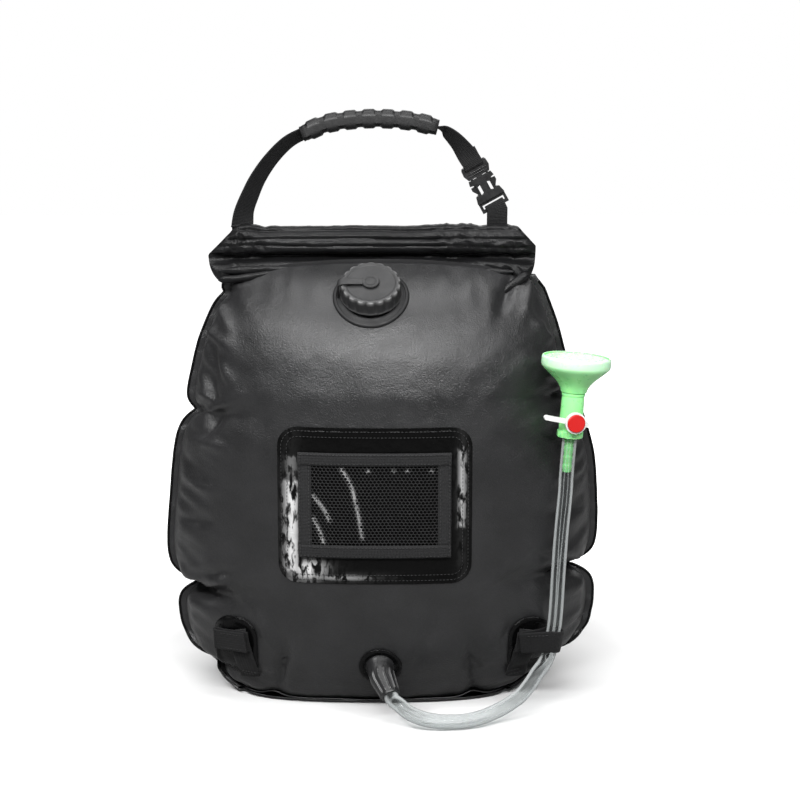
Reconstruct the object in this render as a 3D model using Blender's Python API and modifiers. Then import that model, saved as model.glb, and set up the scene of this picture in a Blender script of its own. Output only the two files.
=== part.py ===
"""A roll-top camp shower bag: bladder, filler, pocket, outlet, hose, handset and buckled carrying handle."""
import math

import bmesh
import bpy
import numpy as np
from mathutils import Euler, Matrix, Vector
from mathutils.bvhtree import BVHTree

NAME = "camp_shower_bag"
GAP = 0.0003
OVERRUN = 0.002
MERGE = 0.00005
EDGE_SEGMENTS = 6
ROUND_STEPS = 24

# Bladder
BAG_HALF_WIDTH = 0.204
BAG_HALF_DEPTH = 0.102
SHOULDER_HEIGHT = 0.405
PANEL_THICKNESS = 0.0009
SEAM_WIDTH = 0.008
SEAM_GAP = 0.0004
LIP_RISE = 0.0025
BASE_CORNER_SETBACK = 0.022
CORNER_HEIGHT = 0.056
CORNER_SPREAD_SHARE = 0.9

# Rolled top
ROLL_HALF_DEPTH = 0.012
ROLL_HALF_HEIGHT = 0.0215
ROLL_SHEET = 0.0018
ROLL_LAYER_GAP = 0.0012
ROLL_TURNS = 2.75
ROLL_RISE = 0.0105
ROLL_LEFT = 0.160
ROLL_LEFT_TOP = 0.137
ROLL_RIGHT = 0.140
ROLL_RIGHT_TOP = 0.125
ROLL_RIGHT_BEND = 0.0190
ROLL_EDGE_ANGLE = math.radians(67)
ROLL_STEPS = 16
ROLL_SETTLE_SHARE = 0.4
STIFFENER_THICKNESS = 0.0026
STIFFENER_FILL_SHARE = 0.78
STIFFENER_END_INSET = 0.004

# Filler neck and cap
NECK_X = -0.010
NECK_DROP = 0.027
NECK_HEIGHT = SHOULDER_HEIGHT - NECK_DROP
NECK_FLANGE_RADIUS = 0.034
WELD_THICKNESS = 0.0018
NECK_BORE_RADIUS = 0.0175
NECK_WALL = 0.0035
NECK_RISE = 0.0135
NECK_DEPTH = 0.004
THREAD_PITCH = 0.0045
THREAD_RIDGE = 0.0013
THREAD_TURNS = 1.5
THREAD_STEPS = 18
THREAD_START = 0.0048
CAP_BORE_CLEARANCE = 0.0022
CAP_WALL = 0.0042
CAP_TOP_THICKNESS = 0.0022
CAP_LOBES = 18
CAP_LOBE_DEPTH = 0.0009
CAP_TAPER = 0.0010
CAP_EDGE = 0.0012
CAP_FLANGE_CLEARANCE = 0.0012
GASKET_THICKNESS = 0.0014
EYELET_RADIUS = 0.0075
EYELET_BORE = 0.0034
EYELET_THICKNESS = 0.0016
RIVET_STEM_RADIUS = 0.0030
RIVET_HEAD_RADIUS = 0.0050
RIVET_HEAD_THICKNESS = 0.0012
TETHER_WIDTH = 0.0075
TETHER_THICKNESS = 0.0015
TETHER_BEND = 0.0026

# Window and pocket on the front
WINDOW_X = -0.0065
WINDOW_HEIGHT = 0.1965
WINDOW_WIDTH = 0.172
WINDOW_TALL = 0.142
WINDOW_CORNER = 0.018
WINDOW_THICKNESS = 0.0008
POCKET_WIDTH = 0.134
POCKET_TALL = 0.095
POCKET_RAISE = 0.0015
BINDING_WIDTH = 0.0115
BINDING_THICKNESS = 0.0014
NET_THICKNESS = 0.0008
NET_HIDDEN = 0.004
NET_COLUMNS = 13
NET_ROWS = 8
NET_STRAND = 0.0016

# Corner patches and keeper straps
PATCH_INSET = 0.0695
PATCH_X = BAG_HALF_WIDTH - PATCH_INSET
PATCH_HEIGHT = 0.056
PATCH_WIDTH = 0.036
PATCH_TALL = 0.048
PATCH_CORNER = 0.014
PATCH_THICKNESS = 0.0012
WEBBING_WIDTH = 0.020
WEBBING_THICKNESS = 0.0016
LEG_WIDTH = 0.018
LEG_INSET = 0.077
LEG_X = BAG_HALF_WIDTH - LEG_INSET
LEG_TOP = 0.074
LEG_BOTTOM = 0.036
KEEPER_INSET = 0.082
KEEPER_INNER_X = BAG_HALF_WIDTH - KEEPER_INSET
KEEPER_HEIGHT = 0.0655
KEEPER_SEWN_STEPS = 4
KEEPER_LIFT = 0.0058
KEEPER_TAIL = 0.003
KEEPER_SPLIT = 0.0003
KEEPER_KNEE_SHARE = 0.55
KEEPER_HOSE_LEAN = math.radians(10.41)
FLAT_FOLD_RADIUS = 0.0016

# Outlet
OUTLET_X = -0.002
OUTLET_HEIGHT = 0.044
OUTLET_FLANGE_RADIUS = 0.019
OUTLET_COLLAR_RADIUS = 0.0070
OUTLET_BORE_RADIUS = 0.0045
NOZZLE_ROOT_RADIUS = 0.0135
NOZZLE_TIP_RADIUS = 0.0088
NOZZLE_LENGTH = 0.035
NOZZLE_FLUTES = 12
NOZZLE_FLUTE_DEPTH = 0.0007
NOZZLE_SIDEWAYS = math.radians(25.94)
NOZZLE_DOWN = math.radians(34.24)
NOZZLE_DIRECTION = Euler((NOZZLE_DOWN, 0, NOZZLE_SIDEWAYS)).to_matrix() @ Vector((0, -1, 0))
NOZZLE_BENDS = 6
HOSE_SOCKET_DEPTH = 0.009
HOSE_CLEARANCE = 0.00045

# Hose
HOSE_RADIUS = 0.0066
HOSE_BORE_CLEARANCE = 0.0004
HOSE_STEP_DIAMETERS = 0.8
HOSE_STRAIGHT_END = 0.036

# Handset
HANDSET_INSET = 0.035
HANDSET_PLACE = Vector((BAG_HALF_WIDTH - HANDSET_INSET, -0.0660, 0.2684))
HANDSET_LEAN = math.radians(4.0)
HANDSET_TURN = math.radians(9.0)
VALVE_RADIUS = 0.0103
VALVE_TOP = 0.0252
VALVE_COLLAR_RADIUS = 0.0116
VALVE_COLLAR_TOP = -0.0098
VALVE_BOTTOM = -0.0156
SPIGOT_RADIUS = 0.0074
SPIGOT_HEIGHT = 0.009
WATERWAY_RADIUS = 0.0028
BARB_RADIUS = 0.0046
BARB_ROOT_RADIUS = 0.0038
BARB_LENGTH = 0.032
BARB_RIDGES = 4
PLUG_RADIUS = 0.0050
PLUG_CLEARANCE = 0.0004
LEVER_STANDOFF = 0.0008
LEVER_THICKNESS = 0.0036
LEVER_HEIGHT = 0.0042
LEVER_TILT = math.radians(8)
LEVER_LONG_ARM = 0.029
LEVER_SHORT_ARM = 0.0135
LEVER_DISC_RADIUS = 0.0096
LEVER_DISC_THICKNESS = 0.0018
KNOB_RADIUS = 0.0081
KNOB_THICKNESS = 0.0018
RETAINER_RADIUS = 0.0058
RETAINER_THICKNESS = 0.0016
HEAD_RADIUS = 0.0310
HEAD_HEIGHT = 0.0320
HEAD_NECK_RADIUS = 0.0115
HEAD_WALL = 0.0018
HEAD_SOCKET_CLEARANCE = 0.0004
HEAD_SEAL_THICKNESS = 0.0010
FACE_THICKNESS = 0.0018
FACE_INSET = 0.0010
FACE_HOLE_RADIUS = 0.0010
FACE_HOLE_RINGS = 2
FACE_HOLE_SIDES = 6

# Handle
HANDLE_LEFT_X = -0.1285
HANDLE_RIGHT_X = 0.1045
HEM_RADIUS = 0.0020
ANCHOR_LIFT = 0.0005
GRIP_HALF_HEIGHT = 0.0088
GRIP_HALF_DEPTH = 0.0140
GRIP_BUMP_DEPTH = 0.0015
GRIP_SIDES = 12
GRIP_STEP_SHARE = 0.85
GRIP_END_SHARE = 0.78
STRAP_WIDTH = 0.0186
FOOT_RISE = 0.0013
FOOT_LAYER_SHARE = 0.7
FOOT_BEND_SHARE = 0.35
CHANNEL_CLEARANCE = 0.0006

# Buckle, measured along its own axis from the strap side
BUCKLE_PLACE = (0.0793, 0.0, 0.0575)
BUCKLE_TILT = math.radians(29.0)
BUCKLE_HALF_WIDTH = 0.0132
RAIL_WIDTH = 0.0026
LOOP_BAR_TOP = 0.0046
LOOP_BAR_LENGTH = 0.0028
LOOP_TAIL_END = -0.0080
MALE_HALF_WIDTH = 0.0125
MALE_THICKNESS = 0.0040
SHOULDER_TOP = 0.0108
SHOULDER_BOTTOM = 0.0135
TONGUE_HALF_WIDTH = 0.0022
TONGUE_END = 0.0340
FEMALE_TOP = 0.0183
FEMALE_BOTTOM = 0.0405
FEMALE_TOP_HALF_WIDTH = 0.0112
FEMALE_HALF_THICKNESS = 0.0046
CAVITY_HALF_WIDTH = 0.0092
CAVITY_HALF_THICKNESS = 0.0026
CAVITY_END = 0.0370
NOTCH_TOP = 0.0225
NOTCH_BOTTOM = 0.0340
NOTCH_HALF_WIDTH = 0.0076
SIGHT_INNER = 0.0036
SIGHT_OUTER = 0.0062
SIGHT_TOP = 0.0250
SIGHT_BOTTOM = 0.0345
END_FRAME_HALF_THICKNESS = 0.0024
END_SLOT_TOP = 0.0432
END_SLOT_LENGTH = 0.0038
END_BAR_LENGTH = 0.0032
PRONG_HALF_THICKNESS = 0.0022
PRONG_INNER = 0.0066
PRONG_ARM_WIDTH = 0.0022
PRONG_HEAD_OUTER = 0.0122
PRONG_END = 0.0325

# Outlines as shares of what they follow
# (share of the side seam's height, share of the bag's half width)
LEFT_EDGE_SHARES = (
    (0.010, 0.680), (0.030, 0.735), (0.060, 0.790), (0.086, 0.857), (0.110, 0.905), (0.139, 0.934),
    (0.179, 0.951), (0.246, 0.965), (0.314, 0.997), (0.374, 1.0), (0.457, 0.985), (0.553, 0.968), (0.612, 0.952),
    (0.651, 0.930), (0.709, 0.905), (0.766, 0.878), (0.843, 0.843), (0.919, 0.781), (1.0, 0.740),
)
RIGHT_EDGE_SHARES = (
    (0.010, 0.600), (0.032, 0.667), (0.060, 0.740), (0.095, 0.830), (0.108, 0.882), (0.121, 0.925),
    (0.159, 0.962), (0.219, 0.980), (0.346, 0.985), (0.417, 0.990), (0.496, 0.983), (0.574, 0.971),
    (0.612, 0.951), (0.663, 0.922), (0.740, 0.875), (0.821, 0.826), (0.881, 0.797), (0.956, 0.741), (1.0, 0.710),
)
# (share of the side seam's height, depth as a share of the bag's half width)
LEFT_NOTCH_SHARES = ((0.074, 0.055), (0.259, 0.110), (0.679, 0.060))
RIGHT_NOTCH_SHARES = ((0.090, 0.040), (0.305, 0.125), (0.720, 0.050))
NOTCH_SPREAD_SHARE = 0.014
# rows of the panels, as shares of the side seam's height
ROW_SHARES = (
    0.010, 0.023, 0.038, 0.056, 0.074, 0.090, 0.110, 0.136, 0.172, 0.207, 0.237, 0.259, 0.283, 0.305, 0.335,
    0.374, 0.417, 0.467, 0.518, 0.568, 0.619, 0.652, 0.679, 0.697, 0.720, 0.758, 0.808, 0.859, 0.904, 0.950, 1.0,
)
COLUMN_SHARES = (-1.0, -0.93, -0.82, -0.66, -0.50, -0.33, -0.17, 0.0, 0.17, 0.33, 0.50, 0.66, 0.82, 0.93, 1.0)
# (share of the shoulder's height, share of the bag's half depth)
DEPTH_SHARES = (
    (0.0, 0.500), (0.022, 0.600), (0.049, 0.690), (0.098, 0.785), (0.147, 0.855), (0.293, 0.960), (0.489, 1.0),
    (0.636, 1.0), (0.733, 0.970), (0.819, 0.880), (0.885, 0.745), (0.910, 0.655), (0.936, 0.550), (0.956, 0.440),
    (0.978, 0.295), (1.0, 0.110),
)
BULGE_POWER = 2.4
BULGE_ROUND = 0.62
# rows of the back panel that cross the base, as shares of the base's half depth
BASE_ROW_SHARES = (-1.0, -0.60, -0.20, 0.25, 0.65, 1.0)
BASE_FLAT_SHARE = 1.6
# head's outline: (share of the height, share of the way from the neck radius to the head radius)
HEAD_OUTLINE_SHARES = ((0.72, 1.0), (0.55, 0.72), (0.38, 0.38), (0.20, 0.13), (0.06, 0.02))

# The hose's route over the floor, then up beside the bag with its first number in from the bag's half width,
# both chosen by hand, and the handle's centre lines over its fold line
HOSE_FLOOR_ROUTE = (
    (0.0146, -0.1190, 0.0205), (0.0229, -0.1240, 0.0152), (0.0329, -0.1270, 0.0112), (0.0459, -0.1280, 0.0085),
    (0.0598, -0.1270, 0.0071), (0.0812, -0.1220, 0.0076), (0.1029, -0.1120, 0.0122), (0.1155, -0.1040, 0.0168),
)
HOSE_RISE_ROUTE = (
    (0.0788, -0.0970, 0.0220), (0.0706, -0.0900, 0.0296), (0.0632, -0.0820, 0.0380), (0.0562, -0.0745, 0.0450),
    (0.0526, -0.0712, 0.0520), (0.0516, -0.0710, 0.0560), (0.0498, -0.0710, 0.0660), (0.0478, -0.0710, 0.0780),
    (0.0464, -0.0710, 0.0950), (0.0450, -0.0710, 0.1250), (0.0427, -0.0705, 0.1650), (0.0392, -0.0674, 0.2050),
)
KEEPER_ROUTE_POINT = 6
GRIP_LINE = (
    (-0.0730, 0.0, 0.0796), (-0.0500, 0.0, 0.0891), (-0.0200, 0.0, 0.0931), (0.0080, 0.0, 0.0931),
    (0.0300, 0.0, 0.0906), (0.0500, 0.0, 0.0856),
)
LEFT_STRAP_LINE = (
    (-0.1265, 0.0, 0.0101), (-0.1211, 0.0, 0.0241), (-0.1135, 0.0, 0.0398), (-0.1019, 0.0, 0.0565),
    (-0.0874, 0.0, 0.0713),
)
RIGHT_STRAP_LINE = ((0.0580, 0.0, 0.0815), (0.0641, 0.0, 0.0763), (0.0705, 0.0, 0.0693))
LEFT_TWIST_DEGREES = (7, 32, 40, 47, 52, 55)
RIGHT_TWIST_DEGREES = (90, 76, 58, 34)

X_AXIS = Vector((1, 0, 0))
Y_AXIS = Vector((0, 1, 0))
Z_AXIS = Vector((0, 0, 1))


# Scene helpers
def clear_scene():
    """Starts from an empty scene."""
    for item in list(bpy.data.objects):
        bpy.data.objects.remove(item, do_unlink=True)


def new_collection(name):
    """Makes a collection in the scene."""
    group = bpy.data.collections.new(name)
    bpy.context.scene.collection.children.link(group)
    return group


def material(name, colour, roughness, metallic=0.0, alpha=1.0):
    """A Principled material with the part's own colour."""
    made = bpy.data.materials.new(name)
    made.use_nodes = True
    shader = made.node_tree.nodes["Principled BSDF"]
    shader.inputs["Base Color"].default_value = (*colour, 1.0)
    shader.inputs["Roughness"].default_value = roughness
    shader.inputs["Metallic"].default_value = metallic
    shader.inputs["Alpha"].default_value = alpha
    return made


def place(data, name, group, matrix=None):
    """Links an object for the data, at the matrix."""
    item = bpy.data.objects.new(name, data)
    group.objects.link(item)
    if matrix is not None:
        item.matrix_world = matrix
    return item


def pivot(name, group, point, axis):
    """An empty on a joint's axis, whose Z is the axis."""
    hint = Vector((1, 0, 0)) if abs(axis.normalized().x) < 0.9 else Vector((0, 1, 0))
    return place(None, name, group, frame_at(point, axis, hint))


def hang(item, pivot_empty):
    """Parents a piece to the empty on its joint's axis and leaves it where it is."""
    item.parent = pivot_empty
    item.matrix_parent_inverse = pivot_empty.matrix_world.inverted()


def finish(item, colour, roughness, metallic=0.0, alpha=1.0):
    """Gives a part its own material and leaves flat shading on its faces."""
    item.data.materials.clear()
    item.data.materials.append(material(item.name, colour, roughness, metallic, alpha))
    return item


def smooth(item, angle=math.radians(35)):
    """Shades a round part smooth, with sharp edges past the angle."""
    item.data.shade_smooth()
    item.data.set_sharp_from_angle(angle=angle)
    return item


def as_guide(item):
    """Marks an object as a cutter."""
    item.hide_render = True
    item.display_type = "WIRE"
    return item


def cut(item, cutter, operation="DIFFERENCE"):
    """Adds a Boolean with a cutter."""
    modifier = item.modifiers.new(cutter.name, "BOOLEAN")
    modifier.operation = operation
    modifier.solver = "EXACT"
    modifier.object = cutter
    return item


def baked(item, group):
    """Swaps a curve or a modified object for the plain mesh it evaluates to."""
    bpy.context.view_layer.update()
    graph = bpy.context.evaluated_depsgraph_get()
    mesh = bpy.data.meshes.new_from_object(item.evaluated_get(graph))
    work = bmesh.new()
    work.from_mesh(mesh)
    bmesh.ops.remove_doubles(work, verts=work.verts, dist=MERGE)
    work.to_mesh(mesh)
    work.free()
    name = item.name
    matrix = item.matrix_world.copy()
    bpy.data.objects.remove(item, do_unlink=True)
    return place(mesh, name, group, matrix)


# Shape helpers
def box(name, group, size, matrix):
    """A box of the size, centred on the matrix."""
    mesh = bpy.data.meshes.new(name)
    work = bmesh.new()
    bmesh.ops.create_cube(work, size=1.0)
    bmesh.ops.scale(work, vec=size, verts=work.verts)
    work.to_mesh(mesh)
    work.free()
    return place(mesh, name, group, matrix)


def cylinder(name, group, radius, low, high, matrix, sides=ROUND_STEPS, tip_radius=None):
    """A cylinder or cone along the matrix's Z, from low to high."""
    mesh = bpy.data.meshes.new(name)
    work = bmesh.new()
    top = radius if tip_radius is None else tip_radius
    bmesh.ops.create_cone(
        work, cap_ends=True, segments=sides, radius1=radius, radius2=top, depth=high - low
    )
    bmesh.ops.translate(work, vec=(0, 0, (high + low) / 2), verts=work.verts)
    work.to_mesh(mesh)
    work.free()
    return place(mesh, name, group, matrix)


def turned(name, group, profile, matrix, closed=True, steps=ROUND_STEPS):
    """A turned part from (radius, height) points running top to bottom on the outer side."""
    mesh = bpy.data.meshes.new(name)
    count = len(profile)
    links = count if closed else count - 1
    edges = [(index, (index + 1) % count) for index in range(links)]
    mesh.from_pydata([(radius, 0, height) for radius, height in profile], edges, [])
    item = place(mesh, name, group, matrix)
    screw = item.modifiers.new("turn", "SCREW")
    screw.axis = "Z"
    screw.steps = steps
    screw.render_steps = steps
    screw.use_merge_vertices = True
    screw.merge_threshold = MERGE
    screw.use_smooth_shade = True
    return item


def plate(name, group, outlines, thickness, matrix):
    """A flat plate from closed outlines, the first one outer and the others holes, as a mesh."""
    curve = bpy.data.curves.new(name, "CURVE")
    curve.dimensions = "2D"
    curve.fill_mode = "BOTH"
    curve.extrude = thickness / 2
    for outline in outlines:
        spline = curve.splines.new("POLY")
        spline.points.add(len(outline) - 1)
        for point, (x, y) in zip(spline.points, outline):
            point.co = (x, y, 0, 1)
        spline.use_cyclic_u = True
    return baked(place(curve, name, group, matrix), group)


def tube(name, group, points, radius, resolution, matrix=None):
    """A round tube along points, with filled caps."""
    curve = bpy.data.curves.new(name, "CURVE")
    curve.dimensions = "3D"
    curve.bevel_depth = radius
    curve.bevel_resolution = resolution
    curve.use_fill_caps = True
    spline = curve.splines.new("POLY")
    spline.points.add(len(points) - 1)
    for point, place_at in zip(spline.points, points):
        point.co = (*place_at, 1)
    return place(curve, name, group, matrix)


def loft(name, group, rings, matrix=None, thin=False):
    """A closed solid between unlike sections with equal counts of corners; a thin one has four corners a
    section, and the faces of its two sides are split along the same diagonals."""
    mesh = bpy.data.meshes.new(name)
    work = bmesh.new()
    made = [[work.verts.new(corner) for corner in ring] for ring in rings]
    count = len(made[0])
    for low, high in zip(made, made[1:]):
        for index in range(count):
            after = (index + 1) % count
            if not thin:
                work.faces.new((low[index], low[after], high[after], high[index]))
            elif index < count / 2:
                work.faces.new((low[index], low[after], high[after]))
                work.faces.new((low[index], high[after], high[index]))
            else:
                work.faces.new((low[index], low[after], high[index]))
                work.faces.new((low[after], high[after], high[index]))
    work.faces.new(list(reversed(made[0])))
    work.faces.new(made[-1])
    bmesh.ops.recalc_face_normals(work, faces=work.faces)
    work.to_mesh(mesh)
    work.free()
    return place(mesh, name, group, matrix)


def smooth_line(points, spacing):
    """Points read at the spacing from a smooth curve through the given points."""
    places = [Vector(point) for point in points]
    padded = [2 * places[0] - places[1], *places, 2 * places[-1] - places[-2]]
    dense = []
    fine = 24
    for index in range(len(places) - 1):
        a, b, c, d = padded[index : index + 4]
        for step in range(fine):
            t = step / fine
            dense.append(
                (2 * b + (c - a) * t + (2 * a - 5 * b + 4 * c - d) * t**2 + (3 * b - a - 3 * c + d) * t**3) / 2
            )
    dense.append(places[-1])
    lengths = np.concatenate([[0.0], np.cumsum([(q - p).length for p, q in zip(dense, dense[1:])])])
    count = max(2, round(lengths[-1] / spacing))
    line = []
    for target in np.linspace(0, lengths[-1], count + 1):
        index = min(int(np.searchsorted(lengths, target, side="right")) - 1, len(dense) - 2)
        share = (target - lengths[index]) / (lengths[index + 1] - lengths[index])
        line.append(dense[index].lerp(dense[index + 1], share))
    return line


def tangents(points, first=None, last=None):
    """Unit directions along a line of points, whose ends can be given."""
    end = len(points) - 1
    directions = [(points[min(i + 1, end)] - points[max(i - 1, 0)]).normalized() for i in range(end + 1)]
    directions[0] = first or directions[0]
    directions[-1] = last or directions[-1]
    return directions


def ribbon(name, group, points, widths, width, thickness, first=None, last=None):
    """Webbing: a flat section along points, whose width lies along each width direction."""
    rings = []
    for point, along, across in zip(points, tangents(points, first, last), widths):
        across = (across - along * across.dot(along)).normalized()
        normal = along.cross(across)
        half_width = across * width / 2
        half_thickness = normal * thickness / 2
        rings.append(
            [
                point - half_width - half_thickness,
                point + half_width - half_thickness,
                point + half_width + half_thickness,
                point - half_width + half_thickness,
            ]
        )
    return loft(name, group, rings, thin=True)


def rounded_rectangle(width, height, corner, centre=(0.0, 0.0)):
    """The outline of a rectangle with round corners."""
    outline = []
    for quarter in range(4):
        sign_x = 1 if quarter in (0, 3) else -1
        sign_y = 1 if quarter in (0, 1) else -1
        cx = centre[0] + sign_x * (width / 2 - corner)
        cy = centre[1] + sign_y * (height / 2 - corner)
        for step in range(EDGE_SEGMENTS + 1):
            angle = (quarter + step / EDGE_SEGMENTS) * math.pi / 2
            outline.append((cx + corner * math.cos(angle), cy + corner * math.sin(angle)))
    return outline


def frame_at(origin, z_direction, x_hint):
    """A matrix at the origin whose Z is the direction and whose X is nearest the hint."""
    z = z_direction.normalized()
    x = (x_hint - z * x_hint.dot(z)).normalized()
    y = z.cross(x)
    matrix = Matrix((x, y, z)).transposed().to_4x4()
    matrix.translation = origin
    return matrix


def lookup(table, share):
    """Reads a table of share pairs in straight lines."""
    return float(np.interp(share, [row[0] for row in table], [row[1] for row in table]))


# Bladder
ROLL_HEIGHT = SHOULDER_HEIGHT + ROLL_RISE
PANEL_CLEAR = GAP + PANEL_THICKNESS
SEAM_TOP = ROLL_HEIGHT - ROLL_HALF_HEIGHT - PANEL_CLEAR


def roll_surface(angle_turned, lift):
    """A point of the rolled sheet's outer side in (depth, height), from its start underneath, lifted."""
    shrink = (ROLL_SHEET + ROLL_LAYER_GAP) * angle_turned / (2 * math.pi)
    around = -math.pi / 2 - angle_turned
    return (
        (ROLL_HALF_DEPTH - shrink + lift) * math.cos(around),
        (ROLL_HALF_HEIGHT - shrink + lift) * math.sin(around),
    )


def edge_half_width(side, share):
    """The seam's outer edge from the middle, with its puckers, at a share of the seam's height."""
    table, notches = (
        (LEFT_EDGE_SHARES, LEFT_NOTCH_SHARES) if side < 0 else (RIGHT_EDGE_SHARES, RIGHT_NOTCH_SHARES)
    )
    pucker = sum(
        depth * math.exp(-(((share - height) / NOTCH_SPREAD_SHARE) ** 2)) for height, depth in notches
    )
    return BAG_HALF_WIDTH * lookup(table, share), BAG_HALF_WIDTH * pucker


def seam_frame(side, share):
    """The seam's point, outward direction and separation direction at a share of its height."""
    height = SEAM_TOP * share
    low = max(0.0, 1.0 - height / CORNER_HEIGHT)
    first = SEAM_TOP * ROW_SHARES[0]
    rise = min(1.0, max(0.0, (height - first) / (CORNER_HEIGHT - first)))
    turn = math.pi / 2 * rise**0.5
    out_turn = math.pi / 4 * low
    outward = Vector((side * math.cos(out_turn), -math.sin(out_turn), 0))
    apart = Vector((0, -math.sin(turn), math.cos(turn)))
    hull, pucker = edge_half_width(side, share)
    x = side * (hull - pucker - SEAM_WIDTH)
    y = -BASE_CORNER_SETBACK * low
    return Vector((x, y, max(height, SEAM_GAP / 2 + PANEL_THICKNESS))), outward, apart


def bulge(across):
    """How far the panel stands out between its seams."""
    return (1.0 - abs(across) ** BULGE_POWER) ** BULGE_ROUND


def panel_rows(front):
    """Rows of points of a panel's outer face, from its bottom edge to its top, seams included."""
    sign = -1.0 if front else 1.0
    offset = SEAM_GAP / 2 + PANEL_THICKNESS
    last = len(ROW_SHARES) - 1
    base_rows = len(BASE_ROW_SHARES)
    base_depth = BAG_HALF_DEPTH * DEPTH_SHARES[0][1]
    base_top = ROW_SHARES[base_rows - 1]
    rows = []
    for index, share in enumerate(ROW_SHARES):
        left, left_out, left_apart = seam_frame(-1, share)
        right, right_out, right_apart = seam_frame(1, share)
        low = offset * 2 if index == 0 and front else 0.0
        if front:
            middle_z = SHOULDER_HEIGHT * share if index else low
            middle_y = -BAG_HALF_DEPTH * lookup(DEPTH_SHARES, share if index else 0.0)
        elif index < base_rows:
            middle_z = 0.0
            middle_y = base_depth * BASE_ROW_SHARES[index]
        else:
            climb = (share - base_top) / (1.0 - base_top)
            middle_z = SHOULDER_HEIGHT * climb
            middle_y = BAG_HALF_DEPTH * lookup(DEPTH_SHARES, climb)
        row = []
        for across in COLUMN_SHARES:
            stand = bulge(across)
            x = (left.x * (1 - across) + right.x * (1 + across)) / 2
            hull_left, pucker_left = edge_half_width(-1, share)
            hull_right, pucker_right = edge_half_width(1, share)
            smooth_x = ((SEAM_WIDTH - hull_left) * (1 - across) + (hull_right - SEAM_WIDTH) * (1 + across)) / 2
            x = smooth_x + (x - smooth_x) * abs(across) ** 4
            seam = left if across < 0 else right
            apart = left_apart if across < 0 else right_apart
            parted = 1.0 + CORNER_SPREAD_SHARE * max(0.0, 1.0 - SEAM_TOP * share / CORNER_HEIGHT)
            edge = seam - apart * offset * parted * sign
            y = edge.y + (middle_y - edge.y) * stand
            z = edge.z + (middle_z - edge.z) * stand
            if index == last:
                angle = ROLL_EDGE_ANGLE * stand
                clear = 2 * GAP + PANEL_THICKNESS * (1 - stand)
                depth, height = roll_surface(angle, clear)
                if not front:
                    settled = min(1.0, stand / ROLL_SETTLE_SHARE)
                    behind, above = roll_surface(2 * math.pi - angle, clear)
                    depth = -depth + (behind + depth) * settled
                    height += (above - height) * settled
                y = depth + edge.y * (1 - stand)
                z = ROLL_HEIGHT + height
            if not front and index < base_rows:
                flat = min(1.0, stand * BASE_FLAT_SHARE)
                z = max(0.0, edge.z * (1 - flat))
            if index == 0:
                flat = min(1.0, stand * BASE_FLAT_SHARE)
                z = edge.z + (low - edge.z) * flat
            row.append(Vector((x, y, z)))
        left_edge = row[0] + left_out * SEAM_WIDTH
        right_edge = row[-1] + right_out * SEAM_WIDTH
        rows.append([left_edge, *row, right_edge])
    lip = []
    for point in rows[0]:
        lip.append(point + Vector((0, -SEAM_WIDTH, LIP_RISE)))
    return [lip, *rows]


def panel_mesh(name, front):
    """The open outer face of a panel, facing out."""
    rows = panel_rows(front)
    mesh = bpy.data.meshes.new(name)
    work = bmesh.new()
    made = [[work.verts.new(point) for point in row] for row in rows]
    for low, high in zip(made, made[1:]):
        for column in range(len(low) - 1):
            corners = [low[column], low[column + 1], high[column + 1], high[column]]
            if not front:
                corners.reverse()
            face = work.faces.new(corners)
            face.smooth = True
    bmesh.ops.triangulate(work, faces=work.faces)
    work.normal_update()
    work.to_mesh(mesh)
    work.free()
    return mesh


def shell(name, group, mesh, lift, thickness, inward=False):
    """A sheet of the thickness that follows a panel's face, lifted off it."""
    copy = mesh.copy()
    if lift:
        normals = [vertex.normal.copy() for vertex in copy.vertices]
        for vertex, normal in zip(copy.vertices, normals):
            vertex.co = vertex.co + normal * lift
    item = place(copy, name, group)
    solid = item.modifiers.new("thickness", "SOLIDIFY")
    solid.thickness = thickness
    solid.offset = -1.0 if inward else 1.0
    solid.use_even_offset = False
    return item


class Front:
    """Answers where the front panel's face is."""

    def __init__(self, mesh):
        work = bmesh.new()
        work.from_mesh(mesh)
        self.tree = BVHTree.FromBMesh(work)
        work.free()

    def at(self, x, z):
        """The face's point and outward direction straight behind (x, z)."""
        point, normal, _, _ = self.tree.ray_cast(Vector((x, -1, z)), Y_AXIS)
        return point, normal

    def weld_frame(self, x, z, radius):
        """A frame on the face whose Z is the mean outward direction over a weld of the radius."""
        centre, _ = self.at(x, z)
        mean = Vector((0, 0, 0))
        for step in range(EDGE_SEGMENTS):
            angle = 2 * math.pi * step / EDGE_SEGMENTS
            _, normal = self.at(x + radius * math.cos(angle) / 2, z + radius * math.sin(angle) / 3)
            mean += normal
        return frame_at(centre, mean, X_AXIS)


def facing_front(x, z):
    """A frame whose Z points out of the bag's front, at a place seen from the front."""
    return frame_at(Vector((x, -BAG_HALF_DEPTH, z)), -Y_AXIS, X_AXIS)


def front_patch(name, group, guides, mesh, lift, thickness, outlines, x, z):
    """A sheet on the front panel inside outlines seen from the front."""
    item = shell(name, group, mesh, lift, thickness)
    prism = plate(name + "_outline", guides, outlines, BAG_HALF_DEPTH * 1.8, facing_front(x, z))
    return cut(item, as_guide(prism), "INTERSECT")


def build_bladder(group):
    """The two panels; gives back the open front face that the other pieces are welded on."""
    front_mesh = panel_mesh("front_face", True)
    back_mesh = panel_mesh("back_face", False)
    front = shell("front_panel", group, front_mesh, 0, PANEL_THICKNESS, inward=True)
    back = shell("back_panel", group, back_mesh, 0, PANEL_THICKNESS, inward=True)
    finish(front, (0.012, 0.012, 0.013), 0.45)
    finish(back, (0.012, 0.012, 0.013), 0.45)
    return front, front_mesh


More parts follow.
